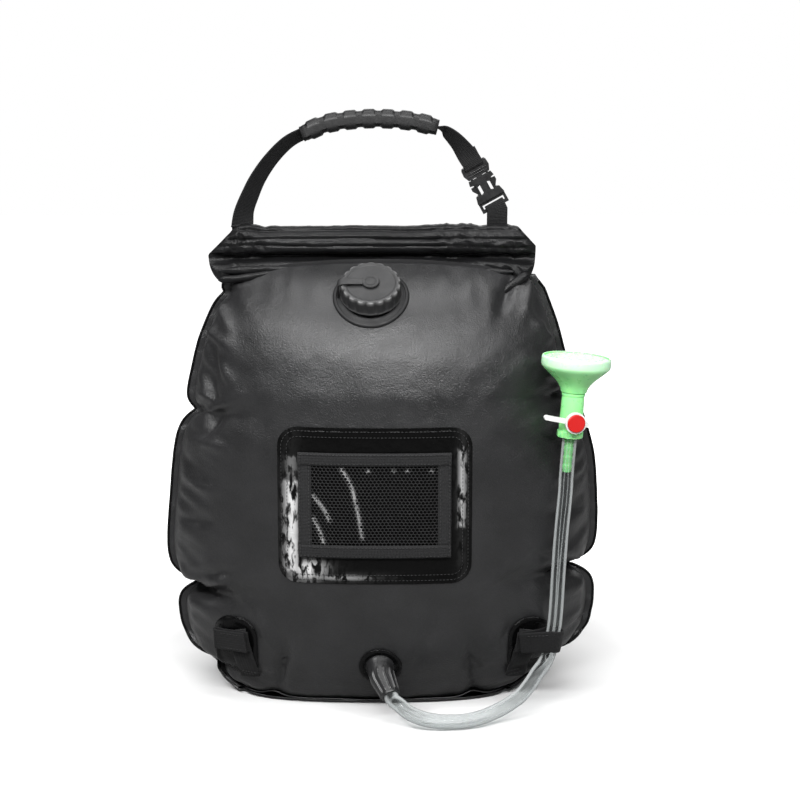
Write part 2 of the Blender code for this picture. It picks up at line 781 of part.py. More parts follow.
# Rolled top
def build_roll(group, guides):
    """The rolled fabric and the batten at its core."""
    count = round(ROLL_TURNS * ROLL_STEPS)
    angles = [2 * math.pi * step / ROLL_STEPS for step in range(count + 1)]
    outer = [roll_surface(angle, 0) for angle in angles]
    inner = [roll_surface(angle, -ROLL_SHEET) for angle in angles]
    length = ROLL_LEFT + ROLL_RIGHT
    centre = Vector(((ROLL_RIGHT - ROLL_LEFT) / 2, 0, ROLL_HEIGHT))
    matrix = frame_at(centre, X_AXIS, Y_AXIS)
    roll = plate("top_roll", group, [outer + inner[::-1]], length, matrix)
    top = ROLL_HEIGHT + ROLL_HALF_HEIGHT
    low = ROLL_HEIGHT - ROLL_HALF_HEIGHT
    left_end = [(-ROLL_LEFT_TOP, top), (-ROLL_LEFT, low), (-length, low), (-length, top)]
    right_end = [(ROLL_RIGHT_TOP, top), (length, top), (length, top - ROLL_RIGHT_BEND)]
    right_end.append((ROLL_RIGHT, top - ROLL_RIGHT_BEND))
    for label, outline in (("left", left_end), ("right", right_end)):
        across = frame_at(Vector(), -Y_AXIS, X_AXIS)
        slant = plate("roll_slant_" + label, guides, [outline], BAG_HALF_DEPTH, across)
        cut(roll, as_guide(slant))
    finish(roll, (0.012, 0.012, 0.013), 0.5)
    core = (ROLL_SHEET + ROLL_LAYER_GAP) * ROLL_TURNS + ROLL_SHEET + ROLL_LAYER_GAP / 2
    batten_height = 2 * (ROLL_HALF_HEIGHT - core) * STIFFENER_FILL_SHARE
    left = ROLL_LEFT_TOP + STIFFENER_END_INSET
    right = ROLL_RIGHT_TOP + STIFFENER_END_INSET
    size = (left + right, STIFFENER_THICKNESS, batten_height)
    middle = Vector(((right - left) / 2, 0, ROLL_HEIGHT))
    batten = box("roll_stiffener", group, size, Matrix.Translation(middle))
    finish(batten, (0.10, 0.10, 0.11), 0.5)


# Filler
def helix(radius, start, turns, lift_angle=0.0):
    """Points along a thread."""
    count = round(turns * THREAD_STEPS)
    points = []
    for step in range(count + 1):
        angle = 2 * math.pi * step / THREAD_STEPS
        height = start + THREAD_PITCH * step / THREAD_STEPS
        points.append((radius * math.cos(angle + lift_angle), radius * math.sin(angle + lift_angle), height))
    return points


def build_filler(group, guides, front_panel, front_mesh, front):
    """The threaded neck, its cap and the tether."""
    frame = front.weld_frame(NECK_X, NECK_HEIGHT, NECK_FLANGE_RADIUS)
    neck_radius = NECK_BORE_RADIUS + NECK_WALL
    hole = cylinder(
        "neck_hole", guides, neck_radius + CHANNEL_CLEARANCE, -NECK_FLANGE_RADIUS, NECK_FLANGE_RADIUS, frame
    )
    cut(front_panel, as_guide(hole))

    neck = shell("filler_neck", group, front_mesh, GAP, WELD_THICKNESS)
    rim = cylinder(
        "neck_rim", guides, NECK_FLANGE_RADIUS, -NECK_RISE, NECK_RISE + CAP_TOP_THICKNESS, frame, 32
    )
    cut(neck, as_guide(rim), "INTERSECT")
    wall = turned(
        "neck_wall",
        guides,
        [
            (neck_radius, NECK_RISE),
            (neck_radius, -NECK_DEPTH),
            (NECK_BORE_RADIUS - NECK_WALL, -NECK_DEPTH),
            (NECK_BORE_RADIUS - NECK_WALL, NECK_RISE),
        ],
        frame,
    )
    cut(neck, as_guide(wall), "UNION")
    thread = helix(neck_radius, THREAD_START, THREAD_TURNS)
    ridge = baked(tube("neck_thread", guides, thread, THREAD_RIDGE, 1, frame), guides)
    cut(neck, as_guide(ridge), "UNION")
    bore = cylinder("neck_bore", guides, NECK_BORE_RADIUS, -NECK_RISE, NECK_RISE + OVERRUN, frame)
    cut(neck, as_guide(bore))
    finish(neck, (0.020, 0.020, 0.022), 0.5)

    cap_bore = neck_radius + CAP_BORE_CLEARANCE
    cap_radius = cap_bore + CAP_WALL
    cap_low = WELD_THICKNESS + GAP + CAP_FLANGE_CLEARANCE
    cap_inside = NECK_RISE + GASKET_THICKNESS + 2 * GAP
    cap_top = cap_inside + CAP_TOP_THICKNESS
    rings = []
    for height, radius, lobes in (
        (cap_low, cap_radius, 1.0),
        (cap_top - CAP_EDGE * 2, cap_radius - CAP_TAPER, 1.0),
        (cap_top - CAP_EDGE, cap_radius - CAP_TAPER, 1.0),
        (cap_top, cap_radius - CAP_TAPER - CAP_EDGE, 0.0),
    ):
        ring = []
        for step in range(CAP_LOBES * 4):
            angle = 2 * math.pi * step / (CAP_LOBES * 4)
            reach = radius - CAP_LOBE_DEPTH * lobes * (1 - math.cos(CAP_LOBES * angle))
            ring.append((reach * math.cos(angle), reach * math.sin(angle), height))
        rings.append(ring)
    cap = loft("filler_cap", group, rings, frame)
    hollow = cylinder("cap_hollow", guides, cap_bore, cap_low - OVERRUN, cap_inside, frame)
    cut(cap, as_guide(hollow))
    cap_ridge_start = THREAD_START + THREAD_PITCH / 2
    cap_ridge = tube(
        "cap_thread", guides, helix(cap_bore, cap_ridge_start, THREAD_TURNS * 2 / 3), THREAD_RIDGE, 1, frame
    )
    cut(cap, as_guide(baked(cap_ridge, guides)), "UNION")
    finish(cap, (0.020, 0.020, 0.022), 0.42)

    gasket = turned(
        "cap_gasket",
        group,
        [
            (neck_radius, cap_inside - GAP),
            (neck_radius, NECK_RISE + GAP),
            (NECK_BORE_RADIUS, NECK_RISE + GAP),
            (NECK_BORE_RADIUS, cap_inside - GAP),
        ],
        frame,
    )
    finish(gasket, (0.35, 0.35, 0.35), 0.8)

    eyelet_low = cap_top + GAP
    eyelet_top = eyelet_low + EYELET_THICKNESS
    eyelet = turned(
        "tether_eyelet",
        group,
        [
            (EYELET_RADIUS, eyelet_top),
            (EYELET_RADIUS, eyelet_low),
            (EYELET_BORE, eyelet_low),
            (EYELET_BORE, eyelet_top),
        ],
        frame,
    )
    finish(eyelet, (0.022, 0.022, 0.024), 0.45)
    rivet = turned(
        "cap_rivet",
        group,
        [
            (0.0, eyelet_top + GAP + RIVET_HEAD_THICKNESS),
            (RIVET_HEAD_RADIUS, eyelet_top + GAP + RIVET_HEAD_THICKNESS),
            (RIVET_HEAD_RADIUS, eyelet_top + GAP),
            (RIVET_STEM_RADIUS, eyelet_top + GAP),
            (RIVET_STEM_RADIUS, eyelet_low),
            (0.0, eyelet_low),
        ],
        frame,
        closed=False,
    )
    finish(rivet, (0.022, 0.022, 0.024), 0.4)

    strap_middle = eyelet_low + TETHER_THICKNESS / 2
    strap_out = cap_radius + TETHER_THICKNESS / 2 + 2 * GAP
    strap_low = cap_low - CAP_FLANGE_CLEARANCE + GAP
    bend = TETHER_BEND
    line = [
        (-strap_out, strap_low),
        (-strap_out, (strap_low + strap_middle) / 2),
        (-strap_out, strap_middle - bend),
        (-strap_out + bend * 0.3, strap_middle - bend * 0.3),
        (-strap_out + bend, strap_middle),
        (-(strap_out + EYELET_RADIUS) / 2, strap_middle),
        (-EYELET_RADIUS - GAP, strap_middle),
    ]
    turn = frame.to_3x3()
    points = [frame @ Vector((across, 0, up)) for across, up in line]
    widths = [turn @ Y_AXIS for _ in line]
    tether = ribbon("tether_strap", group, points, widths, TETHER_WIDTH, TETHER_THICKNESS)
    finish(tether, (0.022, 0.022, 0.024), 0.45)


# Window and pocket
def build_window(group, guides, front_mesh):
    """The clear window, the net of the pocket and the binding round it."""
    sheet = rounded_rectangle(WINDOW_WIDTH, WINDOW_TALL, WINDOW_CORNER)
    window = front_patch(
        "clear_window", group, guides, front_mesh, GAP, WINDOW_THICKNESS, [sheet], WINDOW_X, WINDOW_HEIGHT
    )
    finish(window, (0.05, 0.05, 0.055), 0.08, alpha=0.5)

    pocket_height = WINDOW_HEIGHT + POCKET_RAISE
    net_width = POCKET_WIDTH - 2 * (BINDING_WIDTH - NET_HIDDEN)
    net_tall = POCKET_TALL - 2 * (BINDING_WIDTH - NET_HIDDEN)
    open_width = POCKET_WIDTH - 2 * BINDING_WIDTH
    open_tall = POCKET_TALL - 2 * BINDING_WIDTH
    pitch_x = open_width / NET_COLUMNS
    pitch_z = open_tall / NET_ROWS
    outlines = [rounded_rectangle(net_width, net_tall, NET_HIDDEN / 2)]
    half_x = (pitch_x - NET_STRAND) / 2
    half_z = pitch_z - NET_STRAND
    for row in range(NET_ROWS - 1):
        shift = pitch_x / 2 if row % 2 else 0.0
        centre_z = -open_tall / 2 + pitch_z * (row + 1)
        for column in range(NET_COLUMNS - (1 if row % 2 else 0)):
            centre_x = -open_width / 2 + pitch_x / 2 + shift + pitch_x * column
            outlines.append(
                [
                    (centre_x + half_x, centre_z),
                    (centre_x, centre_z + half_z),
                    (centre_x - half_x, centre_z),
                    (centre_x, centre_z - half_z),
                ]
            )
    net_lift = 2 * GAP + WINDOW_THICKNESS
    net = front_patch(
        "pocket_net", group, guides, front_mesh, net_lift, NET_THICKNESS, outlines, WINDOW_X, pocket_height
    )
    finish(net, (0.015, 0.015, 0.016), 0.6)

    lift = net_lift + NET_THICKNESS + GAP
    half_width = POCKET_WIDTH / 2
    half_tall = POCKET_TALL / 2
    side_z = half_tall - BINDING_WIDTH - GAP
    strips = {
        "pocket_binding_top": (0.0, half_tall - BINDING_WIDTH / 2, POCKET_WIDTH, BINDING_WIDTH),
        "pocket_binding_bottom": (0.0, BINDING_WIDTH / 2 - half_tall, POCKET_WIDTH, BINDING_WIDTH),
        "pocket_binding_left": (BINDING_WIDTH / 2 - half_width, 0.0, BINDING_WIDTH, 2 * side_z),
        "pocket_binding_right": (half_width - BINDING_WIDTH / 2, 0.0, BINDING_WIDTH, 2 * side_z),
    }
    for name, (x, z, width, tall) in strips.items():
        outline = [
            (x + width / 2, z + tall / 2),
            (x - width / 2, z + tall / 2),
            (x - width / 2, z - tall / 2),
            (x + width / 2, z - tall / 2),
        ]
        strip = front_patch(
            name, group, guides, front_mesh, lift, BINDING_THICKNESS, [outline], WINDOW_X, pocket_height
        )
        finish(strip, (0.016, 0.016, 0.017), 0.8)


# Corner patches, legs and keepers
def build_corner(group, guides, front_mesh, front, side, hose_centre):
    """One bottom corner: the welded patch, the webbing leg and the keeper strap with its opening flap."""
    label = "left" if side < 0 else "right"
    patch_outline = rounded_rectangle(PATCH_WIDTH, PATCH_TALL, PATCH_CORNER)
    patch = front_patch(
        "corner_patch_" + label,
        group,
        guides,
        front_mesh,
        GAP,
        PATCH_THICKNESS,
        [patch_outline],
        side * PATCH_X,
        PATCH_HEIGHT,
    )
    finish(patch, (0.010, 0.010, 0.011), 0.5)
    leg_outline = rounded_rectangle(LEG_WIDTH, LEG_TOP - LEG_BOTTOM, WEBBING_THICKNESS)
    leg = front_patch(
        "corner_leg_" + label,
        group,
        guides,
        front_mesh,
        2 * GAP + PATCH_THICKNESS,
        WEBBING_THICKNESS,
        [leg_outline],
        side * LEG_X,
        (LEG_TOP + LEG_BOTTOM) / 2,
    )
    finish(leg, (0.014, 0.014, 0.015), 0.85)

    above, _ = front.at(side * LEG_X, KEEPER_HEIGHT + WEBBING_WIDTH / 2)
    below, _ = front.at(side * LEG_X, KEEPER_HEIGHT - WEBBING_WIDTH / 2)
    slope = (above - below).normalized()
    outward = Vector((0, -slope.z, slope.y))
    sewn = []
    for step in range(KEEPER_SEWN_STEPS):
        x = KEEPER_INNER_X + (PATCH_X + PATCH_WIDTH / 4 - KEEPER_INNER_X) * step / (KEEPER_SEWN_STEPS - 1)
        point, _ = front.at(side * x, KEEPER_HEIGHT)
        sewn.append(point + outward * KEEPER_LIFT)
    start = sewn[0]
    if hose_centre is None:
        radius = FLAT_FOLD_RADIUS + WEBBING_THICKNESS / 2
        up = slope
        landing, _ = front.at(side * (PATCH_X + PATCH_WIDTH / 2), KEEPER_HEIGHT)
        centre = landing + outward * (KEEPER_LIFT + radius)
    else:
        radius = HOSE_RADIUS + 5 * GAP + WEBBING_THICKNESS / 2
        up = Matrix.Rotation(KEEPER_HOSE_LEAN, 3, "Y") @ Z_AXIS
        centre = hose_centre
    reach = Y_AXIS.cross(up).normalized() * side
    out = reach.cross(up).normalized() * side
    split = math.asin(KEEPER_SPLIT / radius)
    turns = [math.pi / 2 - (math.pi / 2 - split) * step / 3 for step in range(4)]
    back_arc = [centre + reach * radius * math.cos(a) - out * radius * math.sin(a) for a in turns]
    back_points = [*sewn, *back_arc]
    middle = slope.lerp(up, KEEPER_KNEE_SHARE)
    widths = [*[slope for _ in sewn], *[up for _ in back_arc]]
    back = ribbon(
        "keeper_back_" + label, group, back_points, widths, WEBBING_WIDTH, WEBBING_THICKNESS, last=out
    )
    finish(back, (0.014, 0.014, 0.015), 0.85)
    front_arc = [centre + reach * radius * math.cos(a) + out * radius * math.sin(a) for a in reversed(turns)]
    landing = start + outward * (WEBBING_THICKNESS + 2 * GAP) + X_AXIS * side * KEEPER_TAIL
    flap_points = [*front_arc, front_arc[-1].lerp(landing, KEEPER_KNEE_SHARE), landing]
    widths = [*[up for _ in front_arc], middle, slope]
    flap = ribbon(
        "keeper_flap_" + label, group, flap_points, widths, WEBBING_WIDTH, WEBBING_THICKNESS, first=out
    )
    finish(flap, (0.014, 0.014, 0.015), 0.85)
    fold = centre + reach * (radius + WEBBING_THICKNESS / 2)
    hang(flap, pivot("keeper_pivot_" + label, group, fold, up))


# Outlet and hose
def nozzle_line(frame):
    """Centre points of the nozzle, leaving the weld square and bending to its own direction."""
    start = frame.translation + frame.col[2].to_3d() * (WELD_THICKNESS + 2 * GAP)
    direction = frame.col[2].to_3d()
    step = NOZZLE_LENGTH / NOZZLE_BENDS
    points = [start]
    for index in range(NOZZLE_BENDS):
        share = min(1.0, (index + 1) / (NOZZLE_BENDS / 2))
        heading = direction.lerp(NOZZLE_DIRECTION, share).normalized()
        points.append(points[-1] + heading * step)
    return points


def round_rings(points, radii, sides, flute_depth=0.0, flutes=0, first=None, last=None):
    """Round sections along a line, optionally fluted."""
    directions = tangents(points, first, last)
    rings = []
    for point, along, radius in zip(points, directions, radii):
        x = (X_AXIS - along * X_AXIS.dot(along)).normalized()
        y = along.cross(x)
        ring = []
        for step in range(sides):
            angle = 2 * math.pi * step / sides
            reach = radius - (flute_depth * (1 - math.cos(flutes * angle)) if flutes else 0.0)
            ring.append(point + x * reach * math.cos(angle) + y * reach * math.sin(angle))
        rings.append(ring)
    return rings


def build_outlet(group, guides, front_panel, front_mesh, front):
    """The outlet's weld flange and its fluted nozzle; gives back the hose's start and direction."""
    frame = front.weld_frame(OUTLET_X, OUTLET_HEIGHT, OUTLET_FLANGE_RADIUS)
    hole = cylinder(
        "outlet_hole",
        guides,
        OUTLET_COLLAR_RADIUS + CHANNEL_CLEARANCE,
        -OUTLET_FLANGE_RADIUS,
        OUTLET_FLANGE_RADIUS,
        frame,
        16,
    )
    cut(front_panel, as_guide(hole))
    flange = shell("outlet_flange", group, front_mesh, GAP, WELD_THICKNESS)
    rim = cylinder(
        "outlet_rim", guides, OUTLET_FLANGE_RADIUS, -OUTLET_FLANGE_RADIUS / 2, OUTLET_FLANGE_RADIUS / 2, frame
    )
    cut(flange, as_guide(rim), "INTERSECT")
    collar = cylinder(
        "outlet_collar", guides, OUTLET_COLLAR_RADIUS, -NECK_DEPTH, WELD_THICKNESS / 2, frame, 16
    )
    cut(flange, as_guide(collar), "UNION")
    bore = cylinder("outlet_bore", guides, OUTLET_BORE_RADIUS, -NECK_RISE, NECK_RISE, frame, 16)
    cut(flange, as_guide(bore))
    finish(flange, (0.014, 0.014, 0.015), 0.5)

    points = nozzle_line(frame)
    shares = np.linspace(0, 1, len(points))
    radii = [NOZZLE_ROOT_RADIUS + (NOZZLE_TIP_RADIUS - NOZZLE_ROOT_RADIUS) * share for share in shares]
    rings = round_rings(
        points,
        radii,
        NOZZLE_FLUTES * 4,
        NOZZLE_FLUTE_DEPTH,
        NOZZLE_FLUTES,
        first=frame.col[2].to_3d(),
        last=NOZZLE_DIRECTION,
    )
    nozzle = loft("outlet_nozzle", group, rings)
    run = [points[0] - frame.col[2].to_3d() * OVERRUN, *points, points[-1] + NOZZLE_DIRECTION * OVERRUN]
    bores = [OUTLET_BORE_RADIUS] * len(run)
    way_rings = round_rings(run, bores, 16, first=frame.col[2].to_3d(), last=NOZZLE_DIRECTION)
    way = loft("nozzle_waterway", guides, way_rings)
    cut(nozzle, as_guide(way))
    mouth = frame_at(points[-1], NOZZLE_DIRECTION, X_AXIS)
    socket = cylinder(
        "nozzle_socket", guides, HOSE_RADIUS + HOSE_CLEARANCE, -HOSE_SOCKET_DEPTH - GAP, OVERRUN, mouth
    )
    cut(nozzle, as_guide(socket))
    finish(nozzle, (0.030, 0.030, 0.032), 0.45)
    start = points[-1] - NOZZLE_DIRECTION * HOSE_SOCKET_DEPTH
    return start


def rise_route():
    """The hose's points beside the bag."""
    return [Vector((BAG_HALF_WIDTH - inset, depth, height)) for inset, depth, height in HOSE_RISE_ROUTE]


def build_hose(group, guides, start, handset):
    """The clear hose from the nozzle's socket over the handset's barb."""
    down = -handset.col[2].to_3d()
    top = handset @ Vector((0, 0, VALVE_BOTTOM - GAP))
    straight = top + down * HOSE_STRAIGHT_END
    lead_in = start + NOZZLE_DIRECTION * (HOSE_SOCKET_DEPTH + HOSE_RADIUS / 2)
    spacing = HOSE_RADIUS * 2 * HOSE_STEP_DIAMETERS
    route = smooth_line([lead_in, *[Vector(p) for p in HOSE_FLOOR_ROUTE], *rise_route(), straight], spacing)
    points = [start, *route, top]
    hose = baked(tube("hose", group, points, HOSE_RADIUS, 3), group)
    frame = frame_at(top, down, X_AXIS)
    bore_radius = BARB_RADIUS + HOSE_BORE_CLEARANCE
    bore = cylinder("hose_bore", guides, bore_radius, -OVERRUN, BARB_LENGTH + GAP, frame, 16)
    cut(hose, as_guide(bore))
    finish(hose, (0.85, 0.88, 0.88), 0.12, alpha=0.5)
    smooth(hose)


# Handset
def build_handset(group, guides):
    """The valve, its lever, and the swivelling shower head."""
    lean = Matrix.Rotation(HANDSET_LEAN, 4, "Y")
    frame = Matrix.Translation(HANDSET_PLACE) @ lean
    barb = [(BARB_ROOT_RADIUS, VALVE_BOTTOM)]
    ridge = BARB_LENGTH / BARB_RIDGES
    for index in range(BARB_RIDGES):
        top = VALVE_BOTTOM - ridge * index
        if index:
            barb.append((BARB_ROOT_RADIUS, top - ridge * 0.1))
        barb.append((BARB_RADIUS, top - ridge * 0.3))
        barb.append((BARB_ROOT_RADIUS, top - ridge))
    profile = [
        (SPIGOT_RADIUS, VALVE_TOP + SPIGOT_HEIGHT),
        (SPIGOT_RADIUS, VALVE_TOP),
        (VALVE_RADIUS, VALVE_TOP),
        (VALVE_RADIUS, VALVE_COLLAR_TOP),
        (VALVE_COLLAR_RADIUS, VALVE_COLLAR_TOP),
        (VALVE_COLLAR_RADIUS, VALVE_BOTTOM),
        *barb,
        (WATERWAY_RADIUS, VALVE_BOTTOM - BARB_LENGTH),
        (WATERWAY_RADIUS, VALVE_TOP + SPIGOT_HEIGHT),
    ]
    valve = turned("valve_body", group, profile, frame, steps=20)
    upright = frame @ Matrix.Rotation(HANDSET_TURN, 4, "Z") @ Matrix.Rotation(math.pi / 2, 4, "X")
    lever_frame = upright @ Matrix.Rotation(-LEVER_TILT, 4, "Z")
    seat_reach = VALVE_RADIUS * 1.3
    seat = cylinder(
        "plug_seat", guides, PLUG_RADIUS + PLUG_CLEARANCE, -seat_reach, seat_reach, lever_frame
    )
    cut(valve, as_guide(seat))
    finish(valve, (0.42, 0.83, 0.50), 0.35)

    lever_low = VALVE_COLLAR_RADIUS + LEVER_STANDOFF
    lever_high = lever_low + LEVER_THICKNESS
    bar_length = LEVER_LONG_ARM + LEVER_SHORT_ARM
    bar_outline = rounded_rectangle(
        bar_length, LEVER_HEIGHT, LEVER_HEIGHT * 0.49, ((LEVER_SHORT_ARM - LEVER_LONG_ARM) / 2, 0.0)
    )
    bar_matrix = lever_frame @ Matrix.Translation((0, 0, (lever_low + lever_high) / 2))
    lever = plate("valve_lever", group, [bar_outline], LEVER_THICKNESS, bar_matrix)
    disc_high = lever_high + LEVER_DISC_THICKNESS
    disc = cylinder(
        "lever_disc", guides, LEVER_DISC_RADIUS, lever_high - LEVER_DISC_THICKNESS, disc_high, lever_frame
    )
    cut(lever, as_guide(disc), "UNION")
    plug_end = VALVE_RADIUS + LEVER_STANDOFF
    plug = cylinder(
        "valve_plug", guides, PLUG_RADIUS, -plug_end, lever_low + LEVER_THICKNESS / 2, lever_frame, 20
    )
    cut(lever, as_guide(plug), "UNION")
    port_frame = upright @ Matrix.Rotation(math.pi / 2, 4, "Y")
    port = cylinder("plug_port", guides, WATERWAY_RADIUS, -VALVE_RADIUS, VALVE_RADIUS, port_frame, 12)
    cut(lever, as_guide(port))
    finish(lever, (0.90, 0.91, 0.90), 0.35)
    knob = turned(
        "valve_knob",
        group,
        [
            (0.0, disc_high + GAP + KNOB_THICKNESS),
            (KNOB_RADIUS * 0.9, disc_high + GAP + KNOB_THICKNESS),
            (KNOB_RADIUS, disc_high + GAP + KNOB_THICKNESS * 0.6),
            (KNOB_RADIUS, disc_high + GAP),
            (0.0, disc_high + GAP),
        ],
        lever_frame,
        closed=False,
    )
    finish(knob, (0.85, 0.02, 0.01), 0.4)
    retainer = turned(
        "valve_retainer",
        group,
        [
            (0.0, -plug_end - GAP),
            (RETAINER_RADIUS, -plug_end - GAP),
            (RETAINER_RADIUS, -plug_end - GAP - RETAINER_THICKNESS),
            (0.0, -plug_end - GAP - RETAINER_THICKNESS),
        ],
        lever_frame,
        closed=False,
        steps=16,
    )
    finish(retainer, (0.90, 0.91, 0.90), 0.4)

    head_low = VALVE_TOP + GAP
    socket_top = VALVE_TOP + SPIGOT_HEIGHT + HEAD_SEAL_THICKNESS + 2 * GAP
    socket_radius = SPIGOT_RADIUS + HEAD_SOCKET_CLEARANCE
    head_high = head_low + HEAD_HEIGHT
    flare = HEAD_RADIUS - HEAD_NECK_RADIUS
    outer = [(HEAD_RADIUS, head_high)]
    outer += [
        (HEAD_NECK_RADIUS + flare * wide, head_low + HEAD_HEIGHT * high) for high, wide in HEAD_OUTLINE_SHARES
    ]
    outer.append((HEAD_NECK_RADIUS, head_low))
    inner = [
        (HEAD_NECK_RADIUS + flare * wide - HEAD_WALL, head_low + HEAD_HEIGHT * high + HEAD_WALL)
        for high, wide in reversed(HEAD_OUTLINE_SHARES[:3])
    ]
    face_radius = HEAD_RADIUS - HEAD_WALL
    ledge = head_high - FACE_INSET - FACE_THICKNESS - GAP
    profile = [
        *outer,
        (socket_radius, head_low),
        (socket_radius, socket_top),
        (WATERWAY_RADIUS, socket_top),
        (WATERWAY_RADIUS, socket_top + HEAD_WALL),
        *inner,
        (face_radius - HEAD_WALL, ledge),
        (face_radius, ledge),
        (face_radius, head_high),
    ]
    head = turned("shower_head", group, profile, frame, steps=28)
    finish(head, (0.42, 0.83, 0.50), 0.35)
    face = cylinder(
        "shower_face", group, face_radius - GAP, ledge + GAP, ledge + GAP + FACE_THICKNESS, frame, 28
    )
    holes = [(0.0, 0.0)]
    for ring in range(1, FACE_HOLE_RINGS + 1):
        ring_radius = face_radius * ring / (FACE_HOLE_RINGS + 1)
        for step in range(ring * 6):
            angle = 2 * math.pi * step / (ring * 6)
            holes.append((ring_radius * math.cos(angle), ring_radius * math.sin(angle)))
    outlines = []
    for x, y in holes:
        ring = []
        for step in range(FACE_HOLE_SIDES):
            angle = 2 * math.pi * step / FACE_HOLE_SIDES
            ring.append((x + FACE_HOLE_RADIUS * math.cos(angle), y + FACE_HOLE_RADIUS * math.sin(angle)))
        outlines.append(ring)
    jets_matrix = frame @ Matrix.Translation((0, 0, ledge))
    jets = plate("face_jets", guides, outlines, HEAD_HEIGHT / 2, jets_matrix)
    cut(face, as_guide(jets))
    finish(face, (0.62, 0.90, 0.66), 0.35)
    seal_low = VALVE_TOP + SPIGOT_HEIGHT + GAP
    seal = turned(
        "head_seal",
        group,
        [
            (SPIGOT_RADIUS, seal_low + HEAD_SEAL_THICKNESS),
            (SPIGOT_RADIUS, seal_low),
            (BARB_RADIUS, seal_low),
            (BARB_RADIUS, seal_low + HEAD_SEAL_THICKNESS),
        ],
        frame,
    )
    finish(seal, (0.1, 0.1, 0.1), 0.8)
    return frame


# Handle
def over_fold(point):
    """The place of a point given over the handle's fold line."""
    return Vector(point) + Z_AXIS * handle_axis_height()


def buckle_frame():
    """The buckle's frame: X across it, Y towards the back, Z along its axis from the strap to the end bar."""
    along = Vector((math.sin(BUCKLE_TILT), 0, -math.cos(BUCKLE_TILT)))
    return along, Vector((math.cos(BUCKLE_TILT), 0, math.sin(BUCKLE_TILT)))


def buckle_point(along_by, across_by=0.0, depth=0.0):
    """A point of the buckle from its distances along, across and in depth."""
    along, across = buckle_frame()
    return over_fold(BUCKLE_PLACE) + along * along_by + across * across_by + Y_AXIS * depth


def buckle_plate_matrix():
    """A frame for flat outlines given as (across, along)."""
    along, across = buckle_frame()
    matrix = Matrix((across, along, across.cross(along))).transposed().to_4x4()
    matrix.translation = over_fold(BUCKLE_PLACE)
    return matrix


def wrap_bar(end, way, half_depth):
    """Points of webbing folded round a bar's edge, which faces along the buckle by the way."""
    clear = 2 * GAP + WEBBING_THICKNESS / 2
    points = []
    for side in (-1, 1):
        corner = [math.radians(degrees) for degrees in (0, 45, 90)]
        if side > 0:
            corner.reverse()
        for angle in corner:
            along_by = end + way * clear * math.sin(angle)
            points.append(buckle_point(along_by, 0, side * (half_depth + clear * math.cos(angle))))
    return points


def rectangle(low_x, high_x, low_y, high_y):
    """The outline of a rectangle."""
    return [(low_x, low_y), (high_x, low_y), (high_x, high_y), (low_x, high_y)]


def build_anchor(group, label, x):
    """Webbing sewn over the roll from its back, which the handle strap is sewn to."""
    lift = ANCHOR_LIFT + WEBBING_THICKNESS / 2
    degrees = (163, 180, 197, 214, 231, 248, 265, 282)
    points = []
    for degree in degrees:
        depth, height = roll_surface(math.radians(degree), lift)
        points.append(Vector((x, depth, ROLL_HEIGHT + height)))
    anchor = ribbon(
        "strap_anchor_" + label, group, points, [X_AXIS for _ in points], WEBBING_WIDTH, WEBBING_THICKNESS
    )
    finish(anchor, (0.014, 0.014, 0.015), 0.85)


def handle_axis_height():
    """Height of the line that the handle folds about."""
    _, top = roll_surface(math.pi, 0)
    return ROLL_HEIGHT + top + ANCHOR_LIFT + WEBBING_THICKNESS + GAP + HEM_RADIUS


def hem(name, guides, x):
    """The sewn fold at a strap's foot, round about the fold line."""
    frame = frame_at(Vector((x, 0, handle_axis_height())), X_AXIS, Y_AXIS)
    reach = WEBBING_WIDTH / 2 - GAP
    return cylinder(name, guides, HEM_RADIUS, -reach, reach, frame, 12)


def strap_widths(points, degrees):
    """Width directions of webbing twisted by the angles, none meaning that its face is to the front."""
    widths = []
    for along, degree in zip(tangents(points), degrees):
        normal = along.cross(Y_AXIS).normalized()
        angle = math.radians(degree)
        widths.append(normal * math.cos(angle) - Y_AXIS * math.sin(angle))
    return widths


